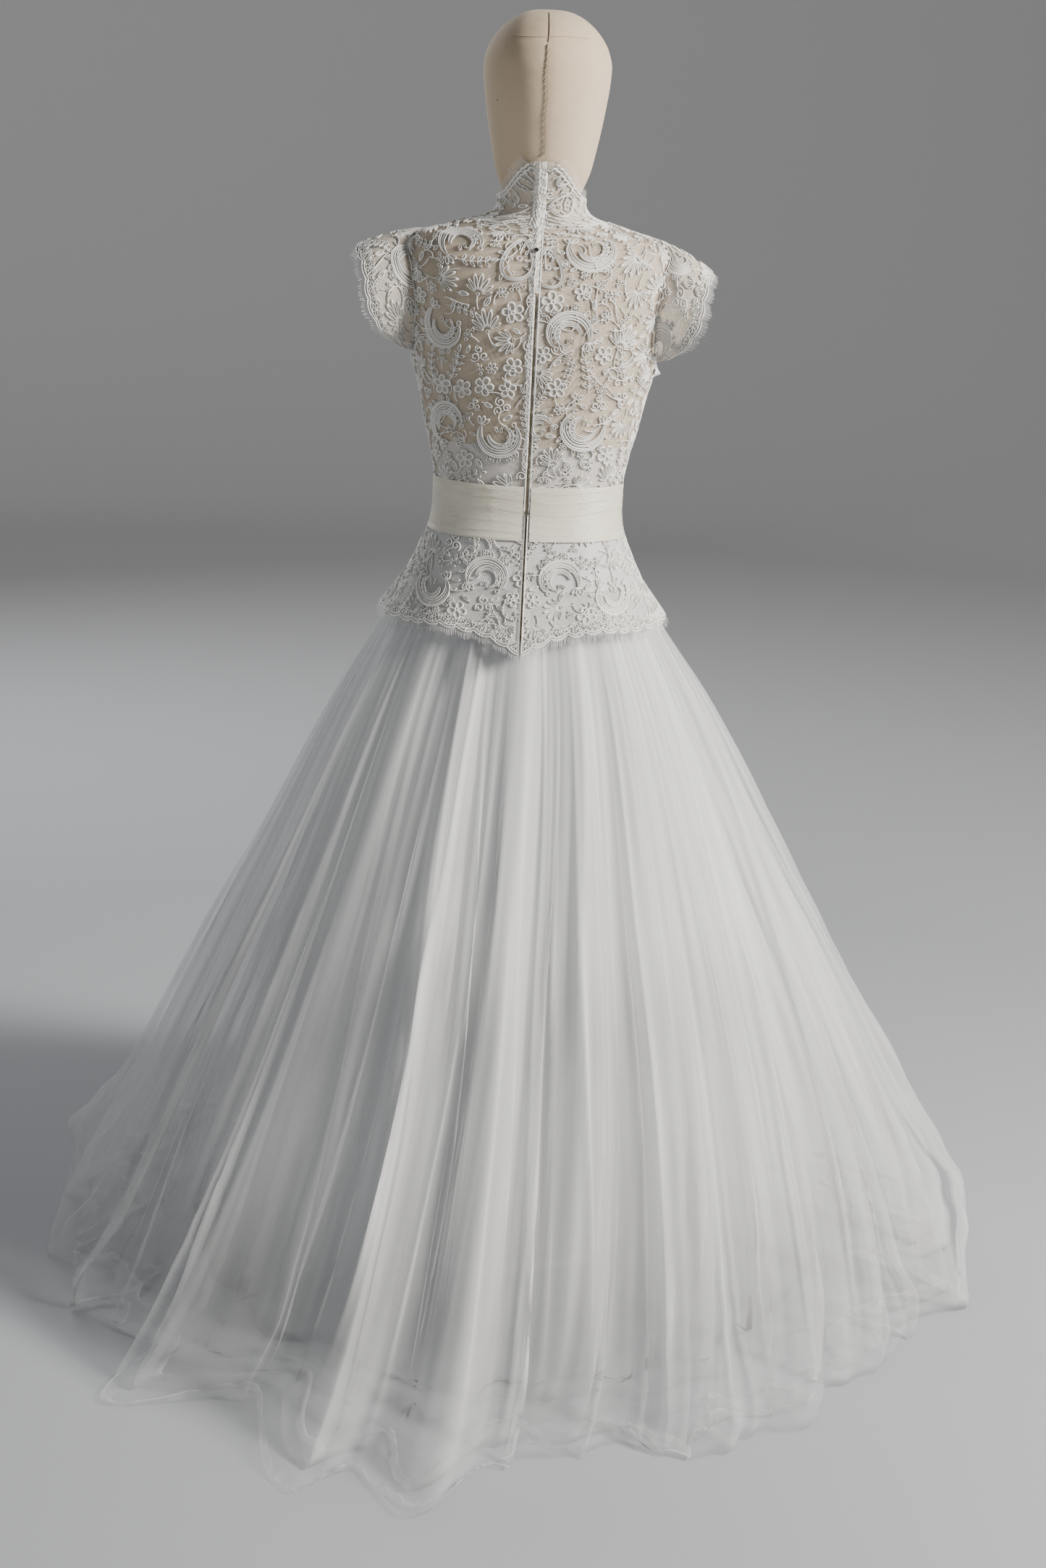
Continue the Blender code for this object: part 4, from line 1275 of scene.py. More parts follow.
    def _paisley(self, work: Flatwork) -> None:
        """A bent drop with fingers round its inside and a flower in its middle."""
        turn = np.linspace(0.0, 2.0 * np.pi, 40)
        up = -0.026 * np.cos(turn)
        wide = 0.0175 * np.sin(turn) * (1.0 - 0.45 * up / 0.026)
        path = rows(-wide + 6.0 * (up + 0.026) ** 2, up)
        work.line(path, 0.0022, SCROLL_BAND)
        middle = path.mean(axis=0) - (0.0, 0.004)
        for index in range(3, 38, 4):
            inward = middle - path[index]
            heading = math.degrees(math.atan2(inward[1], inward[0])) - 90.0
            foot = path[index] + inward / np.linalg.norm(inward) * 0.0026
            work.put(self.finger, tuple(foot), heading, 0.58)
        work.put(self.disc, tuple(middle), size=1.2)
        for index in (6, 12, 28, 34):
            outward = path[index] - middle
            heading = math.degrees(math.atan2(outward[1], outward[0])) - 90.0
            work.put(self.small_leaf, tuple(path[index]), heading + 30.0, 1.0)

    def _arc(self, work: Flatwork) -> None:
        """Discs strung along an arc of cord."""
        turn = np.linspace(0.15 * np.pi, 0.85 * np.pi, 16)
        path = rows(0.019 * np.cos(turn), 0.019 * np.sin(turn) - 0.012)
        work.line(path, 0.0008)
        for index in range(1, 16, 3):
            work.put(self.disc, tuple(path[index]), math.degrees(turn[index]) - 90.0)

    def _curl(self, work: Flatwork) -> None:
        """Three cords that curl in on themselves."""
        share = np.linspace(0.0, 1.0, 20)
        for start, size, way in ((20.0, 1.0, 1.0), (150.0, 0.85, -1.0), (265.0, 0.75, 1.0)):
            turn = np.radians(start) + way * share * 8.2
            radius = size * (0.0058 - 0.0044 * share)
            middle = 0.0056 * np.array([math.cos(math.radians(start)), math.sin(math.radians(start))])
            work.line(rows(radius * np.cos(turn), radius * np.sin(turn)) + middle, 0.0009)


@dataclass(frozen=True)
class Spot:
    """A listed figure: where it is seen from the back, its turn, size and whether mirrored."""

    motif: Motif
    x: float
    z: float
    turn: float = 0.0
    size: float = 1.0
    flip: bool = False


@dataclass
class LacePanel:
    """One piece of corded lace, charted flat and laid on its surface.

    Attributes:
        name: Name of its net.
        surface: What it lies on.
        low: Least s and t.
        high: Greatest s and t.
        inside: Whether flat points are in the panel, for arrays of s and t.
        spots: Figures given one by one.
        seed: Chooses the rest.
        lines: Cords along its edges, as paths in s and t.
        border: Figures along its hem: figure, s, t, turn and size.
        fill: Figures that fill what is left, largest first: figure, free radius, least and greatest size.
        margin: How far the chart reaches past the panel.
        tries: Places tried for a figure, for each place that it could have.
        cloth_per_cord: Square metres of cloth for each wandering cord.
    """

    name: str
    surface: Surface
    low: Flat
    high: Flat
    inside: Outline
    spots: Sequence[Spot] = ()
    seed: int = 1
    lines: Sequence[Array] = ()
    border: Sequence[tuple] = ()
    fill: Sequence[tuple] = (
        (Motif.SPRAY, 0.0180, 0.66, 0.80), (Motif.CURL, 0.0140, 1.10, 1.25),
        (Motif.SPRIG, 0.0115, 0.75, 0.9), (Motif.FLOWER, 0.0125, 0.85, 1.0),
        (Motif.CURL, 0.0098, 0.78, 0.92), (Motif.DAISY, 0.0088, 0.62, 0.74),
        (Motif.CLUSTER, 0.0080, 0.7, 0.9), (Motif.CURL, 0.0072, 0.55, 0.64),
        (Motif.LEAF, 0.0060, 0.7, 1.0),
    )
    margin: float = 0.06
    tries: float = 2.6
    cloth_per_cord: float = 0.0009

    def seat(self, spot: Spot) -> Flat:
        """Where a listed figure lies on the flat cloth."""
        points = self.surface.points
        middle = len(self.surface.s) // 2
        row = int(np.argmin(np.abs(points[middle, :, 2] - spot.z)))
        seen = points[:, row, 0]
        side = 1.0 if seen[middle + 3] > seen[middle - 3] else -1.0
        reach = int(np.argmax(side * seen[middle:]))
        span = slice(middle - reach, middle + reach + 1)
        s = float(np.interp(side * spot.x, side * seen[span], self.surface.s[span]))
        return s, float(self.surface.t[row])

    def scatter(self, dice: random.Random) -> Flat:
        """A place anywhere on the panel's rectangle."""
        return dice.uniform(self.low[0], self.high[0]), dice.uniform(self.low[1], self.high[1])

    def wandering_cord(self, dice: random.Random) -> Array:
        """The path of a short cord that bends as it goes."""
        heading, bend = dice.uniform(0.0, 6.28), dice.uniform(-150.0, 150.0)
        length = np.linspace(0.0, dice.uniform(0.018, 0.042), 14)
        way = heading + bend * length + dice.uniform(-900.0, 900.0) * length ** 2
        start = self.scatter(dice)
        return np.cumsum(rows(np.cos(way), np.sin(way)) * length[1], axis=0) + start

    def chart(self, pattern: Pattern) -> Mesh:
        """Draws the panel's embroidery flat.

        Args:
            pattern: The figures.

        Returns:
            The flat mesh, cut to the panel.
        """
        dice = random.Random(self.seed)
        work = Flatwork((self.low[0] - self.margin, self.low[1] - self.margin),
                        (self.high[0] + self.margin, self.high[1] + self.margin))
        for spot in self.spots:
            work.put(pattern.figures[spot.motif], self.seat(spot), spot.turn, spot.size, spot.flip)
        for motif, s, t, turn, size in self.border:
            work.put(pattern.figures[motif], (s, t), turn, size)
        area = (self.high[0] - self.low[0]) * (self.high[1] - self.low[1])
        for motif, radius, least, most in self.fill:
            tries = [self.scatter(dice) for _ in range(int(self.tries * area / radius ** 2))]
            kept = self.inside(*np.array(tries).T)
            for place in (place for place, good in zip(tries, kept) if good):
                if work.free(place, radius):
                    work.put(pattern.figures[motif], place, dice.uniform(0.0, 360.0),
                             dice.uniform(least, most), dice.random() < 0.5)
        for _ in range(int(area / self.cloth_per_cord)):
            work.line(self.wandering_cord(dice), 0.00075)
        for path in self.lines:
            work.line(path, 0.0011)
        mesh = work.mesh(self.name + "_cord")
        flat = coordinates(mesh)
        keep = self.inside(flat[:, 0], flat[:, 1])
        with edited(mesh) as bm:
            outside = [vert for vert, kept in zip(bm.verts, keep) if not kept]
            bmesh.ops.delete(bm, geom=outside, context="VERTS")
        return mesh

    def net(self, outline: Outline, columns: int, rows: int) -> Mesh:
        """Lays the net ground.

        Args:
            outline: Turns shares across and up into rows of s and t.
            columns: Faces across.
            rows: Faces up.

        Returns:
            The mesh in place.
        """
        mesh = unit_grid(columns, rows, self.name)
        share = coordinates(mesh)
        flat = outline(share[:, 0], share[:, 1])
        move_to(mesh, self.surface.place(np.column_stack([flat, np.zeros(len(flat))])))
        return mesh

    def cords(self, pattern: Pattern) -> Mesh:
        """Lays the embroidery on the surface."""
        mesh = self.chart(pattern)
        flat = coordinates(mesh)
        add_attribute(mesh, "raised", np.clip((flat[:, 2] - 0.00025) / 0.0006, 0.0, 1.0))
        flat[:, 2] = 0.0002 + 1.35 * flat[:, 2]
        move_to(mesh, self.surface.place(flat))
        return mesh


def fringe(edge: Outline, count: int, length: float, name: str, seed: int) -> Mesh:
    """Makes a row of fine lashes along an edge.

    Args:
        edge: Points at shares along the edge and at distances out from it.
        count: How many lashes.
        length: Their length.
        name: The mesh's name.
        seed: Makes them uneven.

    Returns:
        The mesh in place.
    """
    mesh = unit_grid(2 * count, 4, name)
    with edited(mesh) as bm:
        gaps = []
        for face in bm.faces:
            middle = face.calc_center_median()
            if int(middle.x * 2 * count) % 2 and middle.y < 0.75:
                gaps.append(face)
        bmesh.ops.delete(bm, geom=gaps, context="FACES")
    share = coordinates(mesh)
    column = np.rint(share[:, 0] * 2 * count)
    lash = np.floor(column / 2.0)
    down = np.clip((0.75 - share[:, 1]) / 0.75, 0.0, 1.0)
    dice = np.random.default_rng(seed)
    long, lean = dice.uniform(0.72, 1.08, count + 1), dice.normal(0.0, 0.45, count + 1)
    middle = (lash + 0.25) / count
    slim = np.where(share[:, 1] > 0.8, 1.0, 0.62 - 0.30 * down)
    along = middle + (column / (2.0 * count) - middle) * slim
    along = along + lean[lash.astype(int)] * down ** 1.5 / count
    reach = np.where(share[:, 1] > 0.99, -0.0012, down * length * long[lash.astype(int)])
    move_to(mesh, edge(np.clip(along, 0.0, 1.0), reach))
    return mesh


# Figures of the back panels, given one by one: figure, x, z, turn, size and whether mirrored
BACK_SPOTS = {
    Side.RIGHT: (
        (Motif.SCROLL, 0.068, 1.328, 200, 0.95), (Motif.PAISLEY, 0.018, 1.305, -20, 0.85, True),
        (Motif.CLUSTER, 0.094, 1.268, 30, 1.2), (Motif.SCROLL, 0.040, 1.226, 20, 0.95),
        (Motif.SPRAY, 0.104, 1.212, -25, 0.95), (Motif.ARC, 0.108, 1.180, 170, 1.2),
        (Motif.SPRIG, 0.066, 1.178, 10, 1.0), (Motif.SCROLL, 0.064, 1.112, 150, 1.0, True),
        (Motif.SCROLL, 0.010, 1.108, 60, 0.62), (Motif.FLOWER, 0.020, 1.265, 10, 1.1),
        (Motif.FLOWER, 0.096, 1.075, 40, 1.1), (Motif.FLOWER, 0.030, 1.160, 0, 1.05),
        (Motif.SPRAY, 0.030, 1.062, 10, 0.75),
    ),
    Side.LEFT: (
        (Motif.SCROLL, -0.094, 1.330, 10, 0.95, True), (Motif.PAISLEY, -0.030, 1.313, 15, 0.95),
        (Motif.SPRAY, -0.072, 1.270, -15, 0.75), (Motif.SCROLL, -0.112, 1.228, 160, 0.92),
        (Motif.SPRAY, -0.058, 1.225, 12, 0.85), (Motif.SPRIG, -0.098, 1.180, -20, 0.9),
        (Motif.FLOWER, -0.112, 1.155, 0, 1.1), (Motif.FLOWER, -0.086, 1.152, 25, 1.0),
        (Motif.FLOWER, -0.060, 1.158, 50, 1.05), (Motif.SCROLL, -0.104, 1.108, 30, 0.95, True),
        (Motif.SCROLL, -0.036, 1.098, 190, 0.95), (Motif.FLOWER, -0.028, 1.250, 15, 1.1),
        (Motif.FLOWER, -0.025, 1.185, 30, 1.0), (Motif.FLOWER, -0.080, 1.064, 10, 1.0),
    ),
}


@dataclass
class Bodice:
    """The lace bodice, its collar, sleeves and peplum, with the satin, sash and closure.

    Attributes:
        room: Where its pieces are finished.
        pattern: The lace's figures.
        lash: Length of the fringe's lashes.
        scallop: Width of a scallop of the hem.
        panel_reach: How far the bodice's panels reach from the middle, at most.
        peplum_reach: How far the peplum reaches, at most.
        sleeve_reach: How far a sleeve reaches along its seam from its middle.
        tooth: Distance from one tooth of the zip to the next.
    """

    room: Workroom
    pattern: Pattern = field(default_factory=Pattern)
    lash: float = 0.0092
    scallop: float = 0.0216
    panel_reach: float = 0.235
    peplum_reach: float = 0.345
    sleeve_reach: float = 0.143
    tooth: float = 0.0015

    def __post_init__(self) -> None:
        """Lays out the surfaces of the back and the front."""
        self.back = body_surface(DRESS, NET_OUT, TORSO_BOTTOM + 0.006, 1.360)
        self.front = body_surface(DRESS, NET_OUT, 0.95, 1.360, front=True)

    def lace(self, panel: LacePanel, outline: Outline, size: tuple[int, int], flat: Flat, area: float,
             finish: Finish = Finish.NET, rests: str = "torso",
             lashes: tuple[Outline, int, int] | None = None) -> None:
        """Puts a panel's net, cords and fringe on the model, in place of the node of its name.

        Args:
            panel: The panel.
            outline: Its outline, as LacePanel.net takes it.
            size: Faces across and up.
            flat: Width and length of its cut; not used.
            area: Area of its cut; not used.
            finish: Finish of its net.
            rests: What it rests on; not used.
            lashes: Edge, count and seed of its fringe.
        """
        if lashes:
            edge, count, seed = lashes
            mesh = fringe(edge, count, self.lash, "fringe", seed)
            self.room.add("lashes_" + panel.name, mesh, Finish.THREAD, "lace",
                                        ["fringe_" + panel.name])
        net = self.room.add(panel.name + "_net", panel.net(outline, *size), finish, "lace", [panel.name])
        cords = self.room.add(panel.name + "_cord", panel.cords(self.pattern), Finish.CORD, "lace")

    def back_panel(self, side: Side) -> None:
        """Makes one back panel.

        Args:
            side: The wearer's side.
        """
        low, high = float(DRESS.rise(WAIST_SEAM + 0.0004)), float(DRESS.rise(NECK_SEAM))

        def edge(t: Array) -> Array:
            """Outer edge at a height up the cloth."""
            z = DRESS.height(t)
            angle = np.where(z > ARMHOLE[0][0], smooth(ARMHOLE, z), SIDE_SEAM)
            return DRESS.across(angle, z) - 0.0004

        def outline(u: Array, v: Array) -> Array:
            """Flat points of the net."""
            t = low + (high - low) * v
            u = u if side > 0 else 1.0 - u
            return rows(side * (BACK_EDGE + (edge(t) - BACK_EDGE) * u), t)

        def inside(s: Array, t: Array) -> Array:
            """Whether points are on the panel."""
            return (side * s > BACK_EDGE - 0.0006) & (side * s < edge(t)) & (t > low) & (t < high)

        rise = np.linspace(low, high, 150)
        seams = [rows(side * (edge(rise) - 0.0012), rise),
                 rows(np.full_like(rise, side * (BACK_EDGE + 0.0006)), rise)]
        ends = sorted((side * BACK_EDGE, side * self.panel_reach))
        panel = LacePanel("bodice_back_" + side.word, self.back, (ends[0], low), (ends[1], high), inside,
                          [Spot(*row) for row in BACK_SPOTS[side]], 31 + side, seams)
        self.lace(panel, outline, (64, 120), (0.23, 0.38), 0.066)

    def front_panel(self) -> None:
        """Makes the front."""
        low, high = float(DRESS.rise(WAIST_SEAM + 0.0004)), float(DRESS.rise(NECK_SEAM))

        def edge(t: Array) -> Array:
            """Side edge, measured from the centre front."""
            z = DRESS.height(t)
            armhole = np.maximum(SIDE_SEAM, 180.0 - smooth(ARMHOLE, z))
            angle = np.where(z >= ARMHOLE[-1][0], 90.0, np.where(z > ARMHOLE[0][0], armhole, SIDE_SEAM))
            return DRESS.across(180.0 - angle, z) - 0.0004

        def outline(u: Array, v: Array) -> Array:
            """Flat points of the net."""
            t = low + (high - low) * v
            return rows(edge(t) * (2.0 * u - 1.0), t)

        def inside(s: Array, t: Array) -> Array:
            """Whether points are on the panel."""
            return (np.abs(s) < edge(t)) & (t > low) & (t < high)

        spots = []
        for side in Side:
            for motif, x, z, turn, size in (
                    (Motif.SCROLL, 0.075, 1.300, 20, 0.95), (Motif.SCROLL, 0.105, 1.200, 150, 0.95),
                    (Motif.PAISLEY, 0.030, 1.255, -15, 0.95), (Motif.SPRAY, 0.052, 1.180, -12, 0.9),
                    (Motif.SCROLL, 0.060, 1.105, 200, 0.9), (Motif.SPRIG, 0.110, 1.120, -15, 1.0),
                    (Motif.FLOWER, 0.022, 1.150, 20, 1.05)):
                spots.append(Spot(motif, side * x, z, side * turn, size, side < 0))
        rise = np.linspace(low, high, 150)
        seams = [rows(side * (edge(rise) - 0.0012), rise) for side in (-1.0, 1.0)]
        ends = (-self.panel_reach, low), (self.panel_reach, high)
        panel = LacePanel("bodice_front", self.front, *ends, inside, spots, 77, seams)
        self.lace(panel, outline, (128, 120), (0.46, 0.40), 0.135)

    def peplum(self, side: Side) -> None:
        """Makes one side of the peplum.

        Args:
            side: The wearer's side.
        """
        top = float(DRESS.rise(WAIST_SEAM - 0.0004))

        def hem(s: Array) -> Array:
            """Height of the scalloped hem up the cloth."""
            s = np.abs(s)
            angle = DRESS.turn(s, np.full_like(s, PEPLUM_HEM))
            bow = np.abs(np.sin(np.pi * (s + 0.25 * self.scallop) / self.scallop))
            return DRESS.rise(read(PEPLUM_EDGE, angle)) + 0.0020 - 0.0042 * bow ** 0.8

        def front_edge(t: Array) -> Array:
            """Where the peplum ends at the side front."""
            return DRESS.across(PEPLUM_END, DRESS.height(t))

        def outline(u: Array, v: Array) -> Array:
            """Flat points of the net."""
            u = u if side > 0 else 1.0 - u
            far = front_edge(np.full_like(u, float(DRESS.rise(PEPLUM_HEM))))
            bottom = hem(BACK_EDGE + (far - BACK_EDGE) * u)
            t = bottom + (top - bottom) * v
            return rows(side * (BACK_EDGE * 0.5 + (front_edge(t) - BACK_EDGE * 0.5) * u), t)

        def inside(s: Array, t: Array) -> Array:
            """Whether points are on the panel."""
            return (side * s > BACK_EDGE * 0.4) & (side * s < front_edge(t)) & (t > hem(s)) & (t < top)

        run = np.linspace(0.0014, 0.330, 400)
        far = front_edge(hem(run))
        run = run[run < far - 0.001]
        drop = np.linspace(float(hem(np.array([0.002]))[0]), top, 60)
        seams = [rows(side * run, hem(run) + 0.0013),
                 rows(side * run, hem(run) + 0.0050),
                 rows(np.full_like(drop, side * BACK_EDGE * 0.8), drop),
                 rows(side * (front_edge(drop) - 0.0015), drop)]
        spots = [Spot(motif, side * x, z, side * turn, size, side < 0) for motif, x, z, turn, size in (
            (Motif.SCROLL, 0.044, 0.918, 20, 0.92), (Motif.SPRAY, 0.020, 0.868, 175, 0.62),
            (Motif.SCROLL, 0.116, 0.902, 190, 0.92), (Motif.FLOWER, 0.082, 0.880, 30, 1.05),
            (Motif.SPRIG, 0.082, 0.936, 60, 0.8), (Motif.FLOWER, 0.012, 0.895, 30, 0.9))]
        low = float(DRESS.rise(0.824))
        ends = sorted((0.0, side * self.peplum_reach))
        border = self.border(side, hem, 0.25, 0.0, float(far[-1]))
        panel = LacePanel("peplum_" + side.word, self.back, (ends[0], low), (ends[1], top), inside, spots,
                          57 + side, seams, border)

        def fall(along: Array, reach: Array) -> Array:
            """Points of the fringe."""
            s = 0.0012 + (far[-1] - 0.003) * (along if side > 0 else 1.0 - along)
            flat = rows(side * s, hem(s) - reach, np.full_like(s, 0.0004))
            return self.back.place(flat)

        self.lace(panel, outline, (160, 44), (0.34, 0.18), 0.046, Finish.WHITE_NET, "skirt_outer",
                  (fall, 190, 5 + side))

    def border(self, side: Side, hem: Callable[[Array], Array], phase: float, start: float,
               end: float) -> Sequence[tuple]:
        """Small flowers and buds that follow a scalloped hem.

        Args:
            side: The wearer's side, or the right where the hem starts at its own middle.
            hem: Height of the hem at lengths along it.
            phase: Where the middle of a scallop lies, as a share of its width.
            start: Where the row starts.
            end: Where it ends.

        Returns:
            Rows for LacePanel.border.
        """
        found = []
        for index in range(int(round((end - start) / self.scallop)) + 1):
            middle = start + (index + phase) * self.scallop
            between = middle + 0.5 * self.scallop
            low, high = (float(hem(np.array([place]))[0]) for place in (middle, between))
            found.append((Motif.DAISY, side * middle, low + 0.0122, 24.0 * index, 0.62))
            found.append((Motif.BUD, side * between, high + 0.0088, 0.0, 0.85))
            for way in (1.0, -1.0):
                place = side * (middle + way * 0.28 * self.scallop)
                found.append((Motif.LEAF, place, low + 0.0172, side * way * 50.0, 0.62))
        return found

    def cap_surface(self, side: Side) -> Surface:
        """Lays out a cap sleeve, s along its seam from back to front and t up to the seam.

        Args:
            side: The wearer's side.

        Returns:
            The surface.
        """
        s, t = np.linspace(-0.145, 0.145, 161), np.linspace(-0.008, 0.070, 50)
        turn = side * s / 0.145
        climb = 1.0 - np.abs(turn)
        step = np.arange(len(CAP)) / (len(CAP) - 1)
        z = np.interp(climb, step, [row[0] for row in ARMHOLE[1:]])
        lap = np.interp(climb, (0.0, 0.8, 1.0), (0.8, 0.8, 0.0))
        angle = smooth(ARMHOLE, z) - lap
        angle = np.where(turn > 0.0, 180.0 - angle, angle)
        root = DRESS.point(angle, z + np.interp(climb, (0.8, 1.0), (0.0, 0.0025)), np.full_like(z, 0.0036))
        droop_out, droop_up = (-0.008, -0.011) if side is Side.RIGHT else (0.002, 0.002)
        table = [(share, *row) for share, row in zip(step, CAP)]
        facing = np.where(turn > 0.0, -1.0, 1.0)
        nip = 0.008 * np.sin(np.pi * np.clip(climb, 0.0, 1.0)) ** 2
        edge = rows(smooth(table, climb, 1) + droop_out * climb - nip, smooth(table, climb, 2) * facing,
                         smooth(table, climb, 3) + droop_up * climb)
        tilt = np.radians(100.0 * climb - 10.0)
        lift = rows(np.zeros_like(tilt), -facing * np.cos(tilt), np.sin(tilt))
        share = 1.0 - t[None, :] / t[-1]
        full = (0.0045 + 0.0030 * climb * (1.0 - climb))[:, None] * 4.0 * share * (1.0 - share)
        wave = 0.0030 * share ** 2 * (np.sin(15.0 * turn) * climb)[:, None]
        points = root[:, None] + (edge - root)[:, None] * share[..., None]
        points += lift[:, None] * (full + wave)[..., None]
        points[..., 0] *= side
        return Surface(s, t, points)

    def sleeve(self, side: Side) -> None:
        """Makes one cap sleeve.

        Args:
            side: The wearer's side.
        """
        surface = self.cap_surface(side)
        reach, top = self.sleeve_reach, surface.t[-1]

        def hem(s: Array) -> Array:
            """Scalloped free edge."""
            return 0.0014 - 0.0034 * np.abs(np.sin(np.pi * s / self.scallop)) ** 0.8

        def outline(u: Array, v: Array) -> Array:
            """Flat points of the net."""
            s = reach * (2.0 * u - 1.0)
            return rows(s, hem(s) + (top - hem(s)) * v)

        def inside(s: Array, t: Array) -> Array:
            """Whether points are on the sleeve."""
            return (np.abs(s) < reach) & (t > hem(s)) & (t < top)

        run = np.linspace(-reach + 0.001, reach - 0.001, 260)
        seams = [rows(run, hem(run) + 0.0012), rows(run, hem(run) + 0.0046),
                 rows(run, np.full_like(run, top - 0.0012))]
        fill = ((Motif.SCROLL, 0.0260, 0.78, 0.86),) + LacePanel.fill
        border = self.border(Side.RIGHT, hem, 0.5, -6.0 * self.scallop, 5.0 * self.scallop)
        panel = LacePanel("sleeve_" + side.word, surface, (-reach, 0.0), (reach, top), inside, (),
                          91 + side, seams, border, fill)

        def fall(along: Array, down: Array) -> Array:
            """Points of the fringe."""
            s = reach * 0.93 * (2.0 * along - 1.0)
            edge = np.column_stack([s, hem(s), np.full_like(s, 0.0004)])
            deeper = edge + (0.0, 0.004, 0.0)
            start, inner = surface.place(edge), surface.place(deeper)
            away = start - inner
            away /= np.linalg.norm(away, axis=1, keepdims=True)
            return start + away * down[:, None]

        self.lace(panel, outline, (110, 34), (0.30, 0.095), 0.0185, Finish.CLOSE_NET,
                  lashes=(fall, 170, 15 + side))

    def collar(self) -> None:
        """Makes the stand collar, which opens at the back."""
        surface = body_surface(COLLAR, 0.0007, 1.3544, 1.4500, front=True)
        low = 0.0

        def top(s: Array) -> Array:
            """Height of the upper edge up the cloth."""
            level = np.full_like(s, 1.400)
            for _ in range(24):
                off = 180.0 - np.abs(COLLAR.turn(s, level))
                level = 0.6 * level + 0.4 * smooth(COLLAR_TOP, off)
            return COLLAR.rise(level) + 0.0012 * np.abs(np.sin(np.pi * s / 0.012))

        def edge(t: Array) -> Array:
            """Back edge, measured from the centre front."""
            return COLLAR.across(177.0, COLLAR.height(t))

        def outline(u: Array, v: Array) -> Array:
            """Flat points of the net."""
            side = 2.0 * u - 1.0
            reach = side * edge(np.full_like(u, 0.045))
            for _ in range(12):
                reach = side * edge(top(reach))
            t = low + (top(reach) - low) * v
            return rows(side * edge(t), t)

        def inside(s: Array, t: Array) -> Array:
            """Whether points are on the collar."""
            return (np.abs(s) < edge(t)) & (t > low) & (t < top(s))

        run = np.linspace(-0.999, 0.999, 260)
        around = run * edge(top(run * float(edge(np.array([0.05]))[0])))
        up = np.linspace(low, 0.080, 40)
        seams = [rows(around, top(around) - 0.0012),
                 rows(around, top(around) - 0.0046),
                 rows(run * edge(np.full_like(run, 0.0)), np.full_like(run, 0.0014))]
        seams += [rows(side * (edge(up) - 0.0010), up) for side in (-1.0, 1.0)]
        fill = ((Motif.PAISLEY, 0.0180, 0.62, 0.70),) + LacePanel.fill[1:]
        panel = LacePanel("collar", surface, (-0.22, low), (0.22, 0.085), inside, (), 113, seams, (), fill)

        def rise(along: Array, reach: Array) -> Array:
            """Points of the fringe."""
            s = (2.0 * along - 1.0) * (edge(np.full_like(along, 0.080)) - 0.001)
            return surface.place(np.column_stack([s, top(s) + reach * 0.98, np.full_like(s, 0.0004)]))

        self.lace(panel, outline, (150, 30), (0.40, 0.085), 0.0215, Finish.CLOSE_NET,
                  lashes=(rise, 210, 27))

    def satin(self) -> None:
        """Makes the satin underlay, seen through the lace."""
        edge = ((0, SATIN_HEM), (99, SATIN_HEM), (109, SATIN_FRONT), (180, SATIN_FRONT))
        mesh = unit_grid(180, 30, "satin_underlay")
        share = coordinates(mesh)
        angle = 4.0 + 352.0 * share[:, 0]
        hem = read(edge, 180.0 - np.abs(180.0 - angle))
        z = hem + (SATIN_TOP - hem) * share[:, 1]
        ripple = 0.0004 * np.sin(np.radians(angle * 23.0)) * np.cos(z * 210.0)
        move_to(mesh, DRESS.point(angle, z, SATIN_OUT + ripple + flute(angle, z) * 0.35))
        piece = self.room.add("satin_layer", mesh, Finish.SATIN, "satin", ["satin_underlay"])

    def sash(self) -> None:
        """Makes the sash in fine level pleats."""
        mesh = unit_grid(240, 76, "sash")
        share = coordinates(mesh)
        start, up = 1.6, share[:, 1]
        angle = start + (360.0 - 2.0 * start) * share[:, 0]
        turn = np.radians(angle)
        droop = 0.0016 * np.sin(turn + 0.4) + 0.0010 * np.sin(3.0 * turn)
        z = SASH_BOTTOM + (SASH_TOP - SASH_BOTTOM) * up + droop * 4.0 * up * (1.0 - up)
        pleats = np.interp(up, (0.0, 0.13, 0.30, 0.54, 0.74, 0.90, 1.0), range(7))
        pleats = pleats + 0.30 * np.sin(2.0 * turn + 0.6) * np.sin(np.pi * up) + 0.16 * np.sin(5.0 * turn)
        phase = pleats - np.floor(pleats)
        pleat = 0.0006 * (1.0 - phase) ** 2.2 + 0.00022 * phase
        crinkle = np.sin(TAU * (22.0 * up + 1.6 * np.sin(3.0 * turn) + 0.9 * np.sin(7.0 * turn)))
        pleat += 0.00010 * crinkle * (0.5 + 0.5 * np.sin(4.0 * turn + 9.0 * up))
        dice = random.Random(8)
        relief = np.zeros_like(z)
        for _ in range(150):
            centre, level = dice.uniform(0.0, 360.0), dice.uniform(SASH_BOTTOM, SASH_TOP)
            off = swing(angle, centre) * 0.0021
            away = np.sqrt(off ** 2 + (z - level) ** 2)
            relief += 0.00042 * dice.uniform(0.4, 1.0) * np.exp(-((away - 0.0042) / 0.0011) ** 2)
        seam = -0.0007 * np.exp(-((angle - 44.0) / 0.5) ** 2)
        ends = 0.0006 * np.clip(np.abs(up * 2.0 - 1.0) * 12.0 - 11.0, 0.0, 1.0)
        move_to(mesh, DRESS.point(angle, z, SASH_OUT + pleat + relief + seam - ends))
        piece = self.room.add("sash_pleats", mesh, Finish.ORGANZA, "organza", ["sash"])

    def lacy(self, x: Array, z: Array) -> Array:
        """How far small curling cords stand up on a narrow strip, from 0 to 1."""
        curl = np.sin(x * 1500.0 + 1.9 * np.sin(z * 310.0)) * np.sin(z * 700.0 + 2.1 * np.sin(x * 620.0))
        return np.clip(0.50 + 1.5 * curl, 0.0, 1.0)

